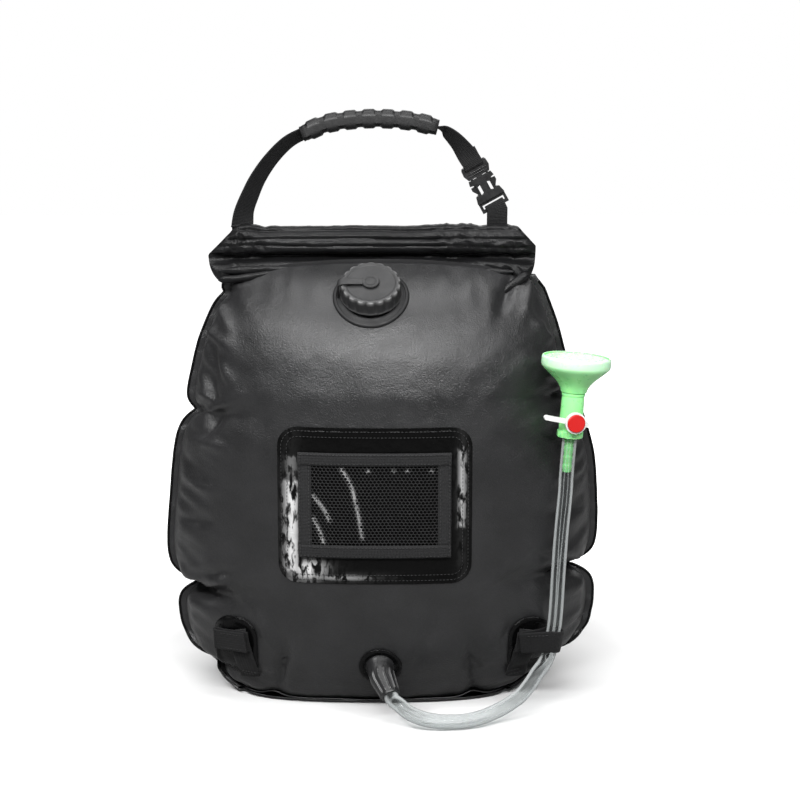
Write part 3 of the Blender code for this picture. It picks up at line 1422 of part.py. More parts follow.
def build_handle(group, guides):
    """The carrying handle: webbing, grip, buckle halves with prongs, and the lower strap."""
    axis_height = handle_axis_height()
    build_anchor(group, "left", HANDLE_LEFT_X)
    build_anchor(group, "right", HANDLE_RIGHT_X)
    handle_pivot = pivot("handle_pivot", group, Vector((0, 0, axis_height)), X_AXIS)

    grip_line = smooth_line([over_fold(point) for point in GRIP_LINE], GRIP_HALF_HEIGHT * GRIP_STEP_SHARE)
    count = len(grip_line)
    grip_twist = np.linspace(LEFT_TWIST_DEGREES[-1], RIGHT_TWIST_DEGREES[0], count)
    foot = Vector((HANDLE_LEFT_X, 0, axis_height + FOOT_RISE))
    exit_way = (grip_line[-1] - grip_line[-2]).normalized()
    tail = grip_line[-1] + exit_way * WEBBING_THICKNESS
    left = [foot, *[over_fold(point) for point in LEFT_STRAP_LINE], *grip_line, tail]
    twist = [*LEFT_TWIST_DEGREES, *grip_twist, RIGHT_TWIST_DEGREES[0]]
    widths = strap_widths(left, twist)
    webbing = ribbon(
        "handle_webbing", group, left, widths, WEBBING_WIDTH, WEBBING_THICKNESS, last=exit_way
    )
    cut(webbing, as_guide(hem("left_hem", guides, HANDLE_LEFT_X)), "UNION")
    finish(webbing, (0.014, 0.014, 0.015), 0.85)

    rings = []
    for index, (point, along) in enumerate(zip(grip_line, tangents(grip_line))):
        normal = along.cross(Y_AXIS)
        bump = GRIP_BUMP_DEPTH * (index % 2)
        end = GRIP_END_SHARE if index in (0, count - 1) else 1.0
        half_height = (GRIP_HALF_HEIGHT - bump) * end
        half_depth = (GRIP_HALF_DEPTH - bump) * end
        ring = []
        for step in range(GRIP_SIDES):
            angle = 2 * math.pi * (step + 0.5) / GRIP_SIDES
            square = (abs(math.cos(angle)) ** 4 + abs(math.sin(angle)) ** 4) ** 0.25
            ring.append(
                point
                + Y_AXIS * half_depth * math.cos(angle) / square
                + normal * half_height * math.sin(angle) / square
            )
        rings.append(ring)
    grip = loft("hand_grip", group, rings)
    ahead = grip_line[0] - (grip_line[1] - grip_line[0]).normalized() * OVERRUN
    channel_line = [ahead, *grip_line, grip_line[-1] + exit_way * OVERRUN]
    channel = ribbon(
        "grip_channel",
        guides,
        channel_line,
        strap_widths(channel_line, [grip_twist[0], *grip_twist, grip_twist[-1]]),
        WEBBING_WIDTH + 2 * CHANNEL_CLEARANCE,
        WEBBING_THICKNESS + 2 * CHANNEL_CLEARANCE,
    )
    cut(grip, as_guide(channel))
    finish(grip, (0.025, 0.025, 0.027), 0.5)

    build_buckle(group, guides, handle_pivot)
    _, across = buckle_frame()
    layer = MALE_THICKNESS / 2 + 2 * GAP + WEBBING_THICKNESS / 2
    bar_low = LOOP_BAR_TOP + LOOP_BAR_LENGTH
    lead = [tail + exit_way * 3 * GAP, *[over_fold(point) for point in RIGHT_STRAP_LINE]]
    loop = [
        buckle_point(LOOP_BAR_TOP / 2, 0, -layer - GAP),
        *wrap_bar(bar_low, 1, MALE_THICKNESS / 2),
        buckle_point(LOOP_BAR_TOP, 0, layer),
        buckle_point(LOOP_TAIL_END, 0, layer),
    ]
    for index, point in enumerate(lead):
        point.y -= layer * index / len(lead)
    lead_widths = strap_widths([*lead, loop[0]], [*RIGHT_TWIST_DEGREES, 0])
    facing = 1 if lead_widths[-1].dot(across) > 0 else -1
    strap = ribbon(
        "loop_strap",
        group,
        [*lead, *loop],
        [*lead_widths[:-1], *[across * facing for _ in loop]],
        STRAP_WIDTH,
        WEBBING_THICKNESS,
        first=exit_way,
    )
    finish(strap, (0.014, 0.014, 0.015), 0.85)

    bar_top = END_SLOT_TOP + END_SLOT_LENGTH
    end = bar_top + END_BAR_LENGTH
    bar_layer = END_FRAME_HALF_THICKNESS + 2 * GAP + WEBBING_THICKNESS / 2
    right_foot = Vector((HANDLE_RIGHT_X, 0, axis_height))
    foot_layer = WEBBING_THICKNESS * FOOT_LAYER_SHARE
    half_down = right_foot.lerp(buckle_point(end + OVERRUN), FOOT_BEND_SHARE)
    lower_line = [
        right_foot - Y_AXIS * foot_layer,
        half_down - Y_AXIS * (foot_layer + bar_layer) / 2,
        buckle_point(end + OVERRUN, 0, -bar_layer),
        *wrap_bar(bar_top, -1, END_FRAME_HALF_THICKNESS),
        buckle_point(end + OVERRUN, 0, bar_layer),
        half_down + Y_AXIS * (foot_layer + bar_layer) / 2,
        right_foot + Y_AXIS * foot_layer,
    ]
    tilt = [0.0, 0.5, *[1.0] * (len(lower_line) - 4), 0.5, 0.0]
    lower_widths = [X_AXIS.lerp(across, share) for share in tilt]
    lower = ribbon("lower_strap", group, lower_line, lower_widths, STRAP_WIDTH, WEBBING_THICKNESS)
    cut(lower, as_guide(hem("right_hem", guides, HANDLE_RIGHT_X)), "UNION")
    finish(lower, (0.014, 0.014, 0.015), 0.85)
    for piece in (webbing, grip, strap, lower):
        hang(piece, handle_pivot)


def build_buckle(group, guides, handle_pivot):
    """The two buckle halves and the prongs."""
    matrix = buckle_plate_matrix()
    half = BUCKLE_HALF_WIDTH
    rail = half - RAIL_WIDTH
    male_half = MALE_HALF_WIDTH
    male_outer = [
        (-male_half, LOOP_BAR_TOP),
        (male_half, LOOP_BAR_TOP),
        (male_half, SHOULDER_BOTTOM),
        (TONGUE_HALF_WIDTH, SHOULDER_BOTTOM),
        (TONGUE_HALF_WIDTH, TONGUE_END),
        (-TONGUE_HALF_WIDTH, TONGUE_END),
        (-TONGUE_HALF_WIDTH, SHOULDER_BOTTOM),
        (-male_half, SHOULDER_BOTTOM),
    ]
    slot_half = STRAP_WIDTH / 2 + GAP
    loop_slot = rectangle(-slot_half, slot_half, LOOP_BAR_TOP + LOOP_BAR_LENGTH, SHOULDER_TOP)
    male = plate("buckle_male", group, [male_outer, loop_slot], MALE_THICKNESS, matrix)
    finish(male, (0.020, 0.020, 0.022), 0.4)

    top_half = FEMALE_TOP_HALF_WIDTH
    body = [
        (-top_half, FEMALE_TOP),
        (top_half, FEMALE_TOP),
        ((top_half + half) / 2, NOTCH_TOP),
        (NOTCH_HALF_WIDTH, NOTCH_TOP + OVERRUN / 2),
        (NOTCH_HALF_WIDTH, NOTCH_BOTTOM - OVERRUN),
        (half - RAIL_WIDTH / 2, NOTCH_BOTTOM),
        (half + GAP, FEMALE_BOTTOM),
    ]
    body += [(-x, y) for x, y in reversed(body[2:])]
    sights = []
    for side in (-1, 1):
        sights.append(
            [
                (side * SIGHT_INNER, SIGHT_TOP),
                (side * SIGHT_OUTER, SIGHT_TOP + OVERRUN / 2),
                (side * SIGHT_OUTER, SIGHT_BOTTOM),
                (side * SIGHT_INNER, SIGHT_BOTTOM - OVERRUN / 2),
            ]
        )
    female = plate("buckle_female", group, [body, *sights], 2 * FEMALE_HALF_THICKNESS, matrix)
    slot = rectangle(-rail, rail, END_SLOT_TOP, END_SLOT_TOP + END_SLOT_LENGTH)
    frame_end = END_SLOT_TOP + END_SLOT_LENGTH + END_BAR_LENGTH
    end_frame = plate(
        "end_frame",
        guides,
        [rectangle(-half, half, FEMALE_BOTTOM - OVERRUN, frame_end), slot],
        2 * END_FRAME_HALF_THICKNESS,
        matrix,
    )
    cut(female, as_guide(end_frame), "UNION")
    cavity_outline = rectangle(-CAVITY_HALF_WIDTH, CAVITY_HALF_WIDTH, FEMALE_TOP - OVERRUN, CAVITY_END)
    cavity = plate("buckle_cavity", guides, [cavity_outline], 2 * CAVITY_HALF_THICKNESS, matrix)
    cut(female, as_guide(cavity))
    finish(female, (0.020, 0.020, 0.022), 0.4)

    arm_outer = PRONG_INNER + PRONG_ARM_WIDTH
    root = SHOULDER_BOTTOM + GAP
    for label, side in (("left", -1), ("right", 1)):
        outline = [
            (PRONG_INNER, root),
            (arm_outer, root),
            (arm_outer, NOTCH_TOP + OVERRUN - GAP),
            (PRONG_HEAD_OUTER, NOTCH_TOP + OVERRUN),
            (PRONG_HEAD_OUTER, (NOTCH_TOP + PRONG_END) / 2),
            (arm_outer, PRONG_END),
            (PRONG_INNER, PRONG_END),
        ]
        outline = [(side * x, y) for x, y in outline]
        if side < 0:
            outline.reverse()
        prong = plate("prong_" + label, group, [outline], 2 * PRONG_HALF_THICKNESS, matrix)
        finish(prong, (0.020, 0.020, 0.022), 0.4)
        hinge = buckle_point(root, side * (PRONG_INNER + PRONG_ARM_WIDTH / 2))
        root_pivot = pivot("prong_pivot_" + label, group, hinge, Y_AXIS)
        hang(root_pivot, handle_pivot)
        hang(prong, root_pivot)
    hang(male, handle_pivot)
    hang(female, handle_pivot)


def main():
    """Builds the whole bag."""
    clear_scene()
    group = new_collection(NAME)
    guides = new_collection("cutters")
    front_panel, front_mesh = build_bladder(group)
    front = Front(front_mesh)
    build_roll(group, guides)
    build_filler(group, guides, front_panel, front_mesh, front)
    build_window(group, guides, front_mesh)
    handset = build_handset(group, guides)
    start = build_outlet(group, guides, front_panel, front_mesh, front)
    build_hose(group, guides, start, handset)
    hose_at_keeper = rise_route()[KEEPER_ROUTE_POINT]
    build_corner(group, guides, front_mesh, front, -1, None)
    build_corner(group, guides, front_mesh, front, 1, hose_at_keeper)
    build_handle(group, guides)


main()
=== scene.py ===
"""Looks of a roll-top camp shower bag: coated fabric, webbing, clear film, plastics and a hose."""

import math

import bmesh
import bpy
import numpy as np
from mathutils import Matrix, Vector, noise
from mathutils.bvhtree import BVHTree


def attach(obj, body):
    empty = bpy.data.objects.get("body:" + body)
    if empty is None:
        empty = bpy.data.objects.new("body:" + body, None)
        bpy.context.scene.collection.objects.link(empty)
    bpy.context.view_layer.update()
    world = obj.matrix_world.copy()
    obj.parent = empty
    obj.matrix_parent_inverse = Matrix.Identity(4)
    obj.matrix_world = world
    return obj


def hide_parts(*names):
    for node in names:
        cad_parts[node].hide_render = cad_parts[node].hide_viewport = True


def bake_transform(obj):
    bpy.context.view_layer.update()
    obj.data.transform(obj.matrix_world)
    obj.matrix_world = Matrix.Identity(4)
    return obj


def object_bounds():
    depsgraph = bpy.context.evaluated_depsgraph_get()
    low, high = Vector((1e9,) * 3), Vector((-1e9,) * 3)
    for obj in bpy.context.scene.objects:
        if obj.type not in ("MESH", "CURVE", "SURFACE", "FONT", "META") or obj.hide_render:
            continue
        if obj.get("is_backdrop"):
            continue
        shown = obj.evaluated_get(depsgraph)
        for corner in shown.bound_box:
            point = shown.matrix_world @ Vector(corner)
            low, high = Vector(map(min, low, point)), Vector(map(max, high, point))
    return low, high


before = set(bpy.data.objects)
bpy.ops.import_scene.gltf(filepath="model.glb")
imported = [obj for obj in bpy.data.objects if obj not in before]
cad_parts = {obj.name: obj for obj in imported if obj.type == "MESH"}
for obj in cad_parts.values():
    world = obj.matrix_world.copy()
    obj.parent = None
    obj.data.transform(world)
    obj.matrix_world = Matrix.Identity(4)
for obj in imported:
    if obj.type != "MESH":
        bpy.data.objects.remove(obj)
cad_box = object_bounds()

X_AXIS = Vector((1, 0, 0))
Y_AXIS = Vector((0, 1, 0))
GAP = 0.0003

# Camera, floor and lights
CAMERA_TARGET = Vector((0.0158, 0.0, 0.2747))
CAMERA_DISTANCE = 1.7
CAMERA_ELEVATION = math.radians(10)
CAMERA_LENS = 82.26
CAMERA_SENSOR_WIDTH = 36
CAMERA_CLIP_START = 0.05
FLOOR_SIZE = 12.0
FLOOR_DROP = 0.0002

# Bladder, as in the CAD model
BAG_HALF_WIDTH = 0.204
BAG_HALF_DEPTH = 0.102
SHOULDER_HEIGHT = 0.405
PANEL_THICKNESS = 0.0009
SEAM_WIDTH = 0.008
SEAM_GAP = 0.0004
LIP_RISE = 0.0025
BASE_CORNER_SETBACK = 0.022
CORNER_HEIGHT = 0.056
CORNER_SPREAD_SHARE = 0.9
ROLL_HALF_DEPTH = 0.012
ROLL_HALF_HEIGHT = 0.0215
ROLL_HEIGHT = SHOULDER_HEIGHT + 0.0105
ROLL_LEFT = 0.16
ROLL_LEFT_TOP = 0.137
ROLL_RIGHT = 0.14
ROLL_RIGHT_TOP = 0.125
ROLL_EDGE_ANGLE = math.radians(67)
ROLL_LAYER = 0.003
SEAM_TOP = ROLL_HEIGHT - ROLL_HALF_HEIGHT - GAP - PANEL_THICKNESS

LEFT_EDGE_SHARES = (
    (0.01, 0.68), (0.03, 0.735), (0.06, 0.79), (0.086, 0.857), (0.11, 0.905), (0.139, 0.934),
    (0.179, 0.951), (0.246, 0.965), (0.314, 0.997), (0.374, 1.0), (0.457, 0.985), (0.553, 0.968),
    (0.612, 0.952), (0.651, 0.93), (0.709, 0.905), (0.766, 0.878), (0.843, 0.843), (0.919, 0.781),
    (1.0, 0.74),
)
RIGHT_EDGE_SHARES = (
    (0.01, 0.6), (0.032, 0.667), (0.06, 0.74), (0.095, 0.83), (0.108, 0.882), (0.121, 0.925),
    (0.159, 0.962), (0.219, 0.98), (0.346, 0.985), (0.417, 0.99), (0.496, 0.983), (0.574, 0.971),
    (0.612, 0.951), (0.663, 0.922), (0.74, 0.875), (0.821, 0.826), (0.881, 0.797), (0.956, 0.741),
    (1.0, 0.71),
)
LEFT_NOTCH_SHARES = ((0.074, 0.055), (0.259, 0.11), (0.679, 0.06))
RIGHT_NOTCH_SHARES = ((0.09, 0.04), (0.305, 0.125), (0.72, 0.05))
NOTCH_SPREAD_SHARE = 0.014
# the scene's own rounding of the seams, and the rim welded along them
LEFT_PINCH_SHARE = (0.957, 0.042)
LOBE_SPREAD_SHARE = 0.02
LOBE_POWER = 1.2
SEAM_TAPER = 0.006
RIM_RADIUS = 0.0014
ROW_SHARES = (
    0.01, 0.023, 0.038, 0.056, 0.074, 0.09, 0.11, 0.136, 0.172, 0.207, 0.237, 0.259, 0.283, 0.305, 0.335,
    0.374, 0.417, 0.467, 0.518, 0.568, 0.619, 0.652, 0.679, 0.697, 0.72, 0.758, 0.808, 0.859, 0.904, 0.95,
    1.0,
)
DEPTH_SHARES = (
    (0.0, 0.5), (0.022, 0.6), (0.049, 0.69), (0.098, 0.785), (0.147, 0.855), (0.293, 0.96), (0.489, 1.0),
    (0.636, 1.0), (0.733, 0.97), (0.819, 0.88), (0.885, 0.745), (0.91, 0.655), (0.936, 0.55),
    (0.956, 0.44), (0.978, 0.295), (1.0, 0.11),
)
BULGE_POWER = 2.4
BULGE_ROUND = 0.62
BASE_ROW_SHARES = (-1.0, -0.6, -0.2, 0.25, 0.65, 1.0)
BASE_FLAT_SHARE = 1.6
PANEL_COLUMNS = 120
ROWS_BETWEEN = 6
ROWS_OVER_HEIGHT = 170

# Hose, with the CAD model's route
HOSE_RADIUS = 0.0066
HOSE_START = (0.00534, -0.10447, 0.02951)
HOSE_LEAD = (0.00979, -0.11362, 0.02259)
HOSE_ROUTE = (
    (0.0146, -0.119, 0.0205), (0.0229, -0.124, 0.0152), (0.0329, -0.127, 0.0112),
    (0.0459, -0.128, 0.0085), (0.0598, -0.127, 0.0071), (0.0812, -0.122, 0.0076),
    (0.1029, -0.112, 0.0122), (0.1155, -0.104, 0.0168), (0.1252, -0.097, 0.022), (0.1334, -0.09, 0.0296),
    (0.1408, -0.082, 0.038), (0.1478, -0.0745, 0.045), (0.1514, -0.0712, 0.052), (0.1524, -0.071, 0.056),
    (0.1542, -0.071, 0.066), (0.1562, -0.071, 0.078), (0.1576, -0.071, 0.095), (0.159, -0.071, 0.125),
    (0.1613, -0.0705, 0.165), (0.1648, -0.0674, 0.205),
)
HOSE_STRAIGHT = (0.16538, -0.066, 0.21663)
HOSE_TOP = (0.16789, -0.066, 0.25254)
HOSE_AT_KEEPER = Vector((0.1542, -0.071, 0.066))
KEEPER_HOSE_DIRECTION = Vector((0.18, 0, 0.98)).normalized()

# Filler, window, corners and outlet
NECK_PLACE = Vector((-0.01, -0.05555, 0.378))
NECK_DIRECTION = Vector((-0.0068, -0.61996, 0.7846))
NECK_FLANGE_RADIUS = 0.034
NECK_RADIUS = 0.021
WELD_THICKNESS = 0.0018
CAP_LOBES = 18
TETHER_WIDTH = 0.0078
THREAD_PITCH = 0.0045
WINDOW_X = -0.0065
WINDOW_HEIGHT = 0.1965
WINDOW_WIDTH = 0.172
WINDOW_TALL = 0.142
WINDOW_CORNER = 0.018
POCKET_RAISE = 0.0015
POCKET_WIDTH = 0.134
POCKET_TALL = 0.095
BINDING_WIDTH = 0.0115
NET_PITCH = 0.0034
NET_STRAND = 0.0008
# painted glare: pale streaks and spots painted into the folded film's colour behind the net as painted
# highlights, from the window's middle
GLARE_LINES = (
    ((-0.029, 0.034), (-0.021, 0.02), (-0.015, -0.004), (-0.0112, -0.028)),
    ((-0.054, 0.01), (-0.045, -0.002), (-0.04, -0.012)),
    ((-0.0545, -0.01), (-0.049, -0.022), (-0.0456, -0.032)),
)
GLARE_SPOTS = (
    (-0.0288, 0.0335), (-0.0056, 0.033), (0.0167, 0.0335), (0.0288, 0.033), (0.05, 0.0325),
    (0.0577, 0.0335),
)
PATCH_X = 0.1345
PATCH_HEIGHT = 0.056
PATCH_WIDTH = 0.036
PATCH_TALL = 0.048
PATCH_CORNER = 0.014
WEBBING_WIDTH = 0.02
WEBBING_THICKNESS = 0.0016
LEG_WIDTH = 0.018
LEG_X = 0.127
LEG_TOP = 0.074
LEG_BOTTOM = 0.025
LEG_SLANT = 0.006
KEEPER_INNER_X = 0.122
KEEPER_HEIGHT = 0.0655
OUTLET_PLACE = Vector((-0.002, -0.08159, 0.044))
OUTLET_DIRECTION = Vector((-0.0003, -0.93055, -0.36617))
OUTLET_FLANGE_RADIUS = 0.019
NOZZLE_DIRECTION = Vector((0.36, -0.74, -0.56)).normalized()
NOZZLE_LENGTH = 0.035
NOZZLE_ROOT_RADIUS = 0.0135
NOZZLE_TIP_RADIUS = 0.0088

# Handset
HANDSET_PLACE = Vector((0.169, -0.066, 0.2684))
HANDSET_LEAN = math.radians(4)
HEAD_RADIUS = 0.031
HEAD_LOW = 0.0255
HEAD_HEIGHT = 0.032
HEAD_OUTLINE_SHARES = (
    (1.0, 0.94), (0.975, 0.985), (0.93, 1.0), (0.76, 1.0), (0.7, 0.97), (0.62, 0.84), (0.52, 0.66),
    (0.42, 0.47), (0.32, 0.3), (0.22, 0.16), (0.12, 0.06), (0.0, 0.0),
)
HEAD_NECK_RADIUS = 0.0115

# Handle, with the CAD model's lines
HANDLE_LEFT_X = -0.1285
HANDLE_RIGHT_X = 0.1045
HANDLE_AXIS_HEIGHT = 0.4399
GRIP_HALF_HEIGHT = 0.0088
GRIP_HALF_DEPTH = 0.014
GRIP_BUMP_PITCH = 0.0168
GRIP_BUMP_DEPTH = 0.0015
GRIP_LINE = (
    (-0.073, 0.0, 0.5195), (-0.05, 0.0, 0.529), (-0.02, 0.0, 0.533), (0.008, 0.0, 0.533),
    (0.03, 0.0, 0.5305), (0.05, 0.0, 0.5255),
)
LEFT_STRAP_LINE = (
    (-0.1265, 0.0, 0.45), (-0.1211, 0.0, 0.464), (-0.1135, 0.0, 0.4797), (-0.1019, 0.0, 0.4964),
    (-0.0874, 0.0, 0.5112),
)
RIGHT_STRAP_LINE = ((0.058, 0.0, 0.5214), (0.0641, 0.0, 0.5162), (0.0705, 0.0, 0.5092))
LEFT_TWIST_DEGREES = (7, 32, 40, 47, 52, 55)
RIGHT_TWIST_DEGREES = (78, 58, 46, 34)
STRAP_WIDTH = 0.0186
STRAP_SPACING = 0.0025
FOOT_REACH = 0.0036
BUCKLE_PLACE = Vector((0.0793, 0.0, 0.4974))
BUCKLE_TILT = math.radians(29)
LOOP_BAR_TOP = 0.0046
LOOP_BAR_LENGTH = 0.0028
LOOP_TAIL_END = -0.008
MALE_THICKNESS = 0.004
MALE_HALF_WIDTH = 0.0125
END_SLOT_END = 0.047
END_BAR_LENGTH = 0.0032
END_FRAME_HALF_THICKNESS = 0.0024

STITCH_LENGTH = 0.0024
STITCH_PITCH = 0.0033
STITCH_RADIUS = 0.00032
STITCH_SHARES = (0.35, 1.0, 0.35)


# Materials
# a wave texture repeats every WAVE_UNIT / scale metres
WAVE_UNIT = 0.314
FABRIC_WEAVE = 0.0009
FABRIC_WEAVE_HEIGHT = 0.00006
# (texture scale, detail, height, strength)
FABRIC_BUMPS = ((820, 2, 0.0004, 0.75), (420, 2, 0.00025, 0.55), (75, 4, 0.0012, 0.35))
WEBBING_RIB = 0.0013
WEBBING_RIB_HEIGHT = 0.0003
WEBBING_CHEVRON = 0.0024
WEBBING_CHEVRON_HEIGHT = 0.0002
WEBBING_FUZZ_HEIGHT = 0.0001
PLASTIC_GRAIN = 0.00006
FILM_FOLD_HEIGHT = 0.0022
FILM_CREASE_HEIGHT = 0.0007
HOSE_DENT_HEIGHT = 0.0003
# how solid the hose looks, from facing the eye to turned away
HOSE_STEPS = (
    (0.0, 0.02), (0.03, 0.03), (0.045, 0.36), (0.065, 0.04), (0.2, 0.03), (0.26, 0.3), (0.42, 0.62),
    (1.0, 0.85),
)


class Look:
    """A procedural material built round one Principled shader."""

    def __init__(self, name, colour, roughness, **sockets):
        self.material = bpy.data.materials.new(name)
        self.material.use_nodes = True
        self.tree = self.material.node_tree
        self.shader = self.tree.nodes["Principled BSDF"]
        self.output = self.tree.nodes["Material Output"]
        self.shader.inputs["Base Color"].default_value = (*colour, 1)
        self.shader.inputs["Roughness"].default_value = roughness
        for socket, value in sockets.items():
            self.shader.inputs[socket.replace("_", " ")].default_value = value
        self.height = None

    def node(self, kind, settings=None, **sockets):
        made = self.tree.nodes.new(kind)
        for key, value in (settings or {}).items():
            setattr(made, key, value)
        for socket, value in sockets.items():
            made.inputs[socket.replace("_", " ")].default_value = value
        return made

    def link(self, out, into):
        self.tree.links.new(out, into)

    def coordinates(self, scale=(1, 1, 1), uv=False):
        source = self.node("ShaderNodeTexCoord")
        mapping = self.node("ShaderNodeMapping")
        mapping.inputs["Scale"].default_value = scale
        self.link(source.outputs["UV" if uv else "Object"], mapping.inputs["Vector"])
        return mapping.outputs["Vector"]

    def noise(self, scale, detail=3.0, stretch=(1, 1, 1), uv=False, distortion=0.0):
        texture = self.node("ShaderNodeTexNoise", Scale=scale, Detail=detail, Distortion=distortion)
        self.link(self.coordinates(stretch, uv=uv), texture.inputs["Vector"])
        return texture.outputs["Fac"]

    def waves(self, period, direction, uv=False, distortion=0.0):
        settings = {"wave_type": "BANDS", "bands_direction": direction, "wave_profile": "SIN"}
        texture = self.node("ShaderNodeTexWave", settings, Scale=WAVE_UNIT / period, Distortion=distortion)
        self.link(self.coordinates(uv=uv), texture.inputs["Vector"])
        return texture.outputs["Fac"]

    def ramp(self, fac, stops):
        made = self.node("ShaderNodeValToRGB")
        elements = made.color_ramp.elements
        while len(elements) < len(stops):
            elements.new(0.5)
        for element, (position, shade) in zip(elements, stops):
            element.position = position
            element.color = (*shade, 1) if isinstance(shade, tuple) else (shade, shade, shade, 1)
        self.link(fac, made.inputs["Fac"])
        return made.outputs["Color"]

    def math(self, operation, first, second):
        made = self.node("ShaderNodeMath", {"operation": operation})
        for socket, value in zip(made.inputs, (first, second)):
            if isinstance(value, (int, float)):
                socket.default_value = value
            else:
                self.link(value, socket)
        return made.outputs["Value"]

    def vary_colour(self, fac, low, high):
        """Mixes two colours by a texture into the base colour."""
        self.link(self.ramp(fac, ((0.3, low), (0.7, high))), self.shader.inputs["Base Color"])

    def vary_roughness(self, fac, low, high):
        made = self.node("ShaderNodeMapRange", From_Min=0.3, From_Max=0.7, To_Min=low, To_Max=high)
        self.link(fac, made.inputs["Value"])
        self.link(made.outputs["Result"], self.shader.inputs["Roughness"])

    def wear_and_highlight(self):
        """How rubbed each place is, and how bright with painted highlight, as the mesh says."""
        return self.node("ShaderNodeAttribute", {"attribute_name": "wear_and_highlight"}).outputs["Fac"]

    def surface(self, share, first, second):
        """Mixes two shaders by a share into the surface."""
        mix = self.node("ShaderNodeMixShader")
        self.link(share, mix.inputs["Fac"])
        self.link(first, mix.inputs[1])
        self.link(second, mix.inputs[2])
        self.link(mix.outputs["Shader"], self.output.inputs["Surface"])

    def bump(self, fac, distance, strength=1.0):
        """Adds a layer of bump on the ones before it."""
        made = self.node("ShaderNodeBump", Strength=strength, Distance=distance)
        self.link(fac, made.inputs["Height"])
        if self.height:
            self.link(self.height, made.inputs["Normal"])
        self.height = made.outputs["Normal"]
        self.link(self.height, self.shader.inputs["Normal"])


def shades(colour, darker, lighter):
    """The colour made darker and made lighter."""
    return tuple(c * darker for c in colour), tuple(c * lighter for c in colour)


def fabric_look(name, colour, roughness, sheen, gloss=0.42):
    """Black coated fabric: fine weave, faint mottling and small dents."""
    look = Look(name, colour, roughness, Sheen_Weight=sheen, Sheen_Roughness=0.45, Specular_IOR_Level=gloss)
    mottle = look.math("MULTIPLY", look.noise(26, 5), 0.5)
    grain = look.math("MULTIPLY", look.noise(1500, 1), 0.5)
    look.vary_colour(look.math("ADD", mottle, grain), *shades(colour, 0.6, 1.7))
    look.vary_roughness(look.noise(60, 4), roughness - 0.05, roughness + 0.07)
    for direction in "XZ":
        look.bump(look.waves(FABRIC_WEAVE, direction), FABRIC_WEAVE_HEIGHT, 0.5)
    for scale, detail, height, strength in FABRIC_BUMPS:
        look.bump(look.noise(scale, detail), height, strength)
    return look.material


def webbing_look(name, colour, roughness=0.72):
    """Woven webbing: ribs across, chevrons along, fuzzy edges."""
    look = Look(name, colour, roughness, Sheen_Weight=0.04, Sheen_Roughness=0.5, Specular_IOR_Level=0.2)
    look.vary_colour(look.noise(900, 3, uv=True), *shades(colour, 0.6, 1.7))
    look.bump(look.waves(WEBBING_RIB, "Y", uv=True, distortion=0.6), WEBBING_RIB_HEIGHT, 0.9)
    look.bump(look.waves(WEBBING_CHEVRON, "X", uv=True), WEBBING_CHEVRON_HEIGHT, 0.6)
    look.bump(look.noise(1800, 2, uv=True), WEBBING_FUZZ_HEIGHT, 0.5)
    return look.material


def plastic_look(
    name, colour, roughness, grain=PLASTIC_GRAIN, wear_and_highlight_colour=None, uneven=0.12, clean=False, **sockets
):
    """Moulded plastic: fine texture, uneven gloss and, if asked, a paler colour read from the mesh, for
    rubbed edges and painted highlights.
    """
    look = Look(name, colour, roughness, **sockets)
    look.vary_roughness(look.noise(130, 4), roughness - 0.06, roughness + 0.08)
    look.bump(look.noise(1100, 2), grain, 0.6)
    look.bump(look.noise(160, 3), grain * 3, 0.4)
    darker, lighter = shades(colour, 1 - uneven, 1 + uneven)
    tint = look.ramp(look.noise(90, 4), ((0.3, darker), (0.7, lighter)))
    # the paler colour mixed in by the mesh's marks: rubbed edges, and painted highlights on some pieces
    if wear_and_highlight_colour:
        amount = look.wear_and_highlight()
        if not clean:
            amount = look.math("MULTIPLY", look.math("MULTIPLY", amount, look.noise(700, 3)), 1.6)
        mix = look.node("ShaderNodeMix", {"data_type": "RGBA"})
        look.link(amount, mix.inputs["Factor"])
        look.link(tint, mix.inputs[6])
        mix.inputs[7].default_value = (*wear_and_highlight_colour, 1)
        tint = mix.outputs[2]
    look.link(tint, look.shader.inputs["Base Color"])
    return look.material


def film_look():
    """Clear film: glossy, creased, with pale scuffs where it has been folded and glare painted into its
    colour as painted highlights, both read from the mesh.
    """
    look = Look("clear_film", (0.002, 0.002, 0.0021), 0.1, Specular_IOR_Level=0.05)
    look.vary_roughness(look.noise(70, 4), 0.06, 0.2)
    look.bump(look.noise(55, 3, distortion=0.6), FILM_FOLD_HEIGHT, 0.8)
    look.bump(look.noise(190, 4, distortion=1.2), FILM_CREASE_HEIGHT, 0.8)
    patches = look.ramp(look.noise(250, 6, (1, 1, 0.35), distortion=0.5), ((0.36, 0.0), (0.52, 1.0)))
    # pale scuffs and painted glare highlights from the mesh, broken into patches
    scuff_and_glare = look.math("MULTIPLY", look.wear_and_highlight(), patches)
    pale = look.ramp(scuff_and_glare, ((0.0, 0.003), (0.25, 0.015), (0.6, 0.16), (1.0, 0.5)))
    look.link(pale, look.shader.inputs["Base Color"])
    return look.material


def hose_look():
    """Clear hose: see-through in the middle, milky at its edges and along its bore's edges."""
    look = Look("clear_vinyl", (0.46, 0.48, 0.48), 0.12, Specular_IOR_Level=0.6)
    clear = look.node("ShaderNodeBsdfTransparent")
    clear.inputs["Color"].default_value = (0.78, 0.8, 0.8, 1)
    facing = look.node("ShaderNodeLayerWeight", Blend=0.5)
    solid = look.ramp(facing.outputs["Facing"], HOSE_STEPS)
    look.surface(solid, clear.outputs["BSDF"], look.shader.outputs["BSDF"])
    look.bump(look.noise(90, 2), HOSE_DENT_HEIGHT, 0.4)
    return look.material


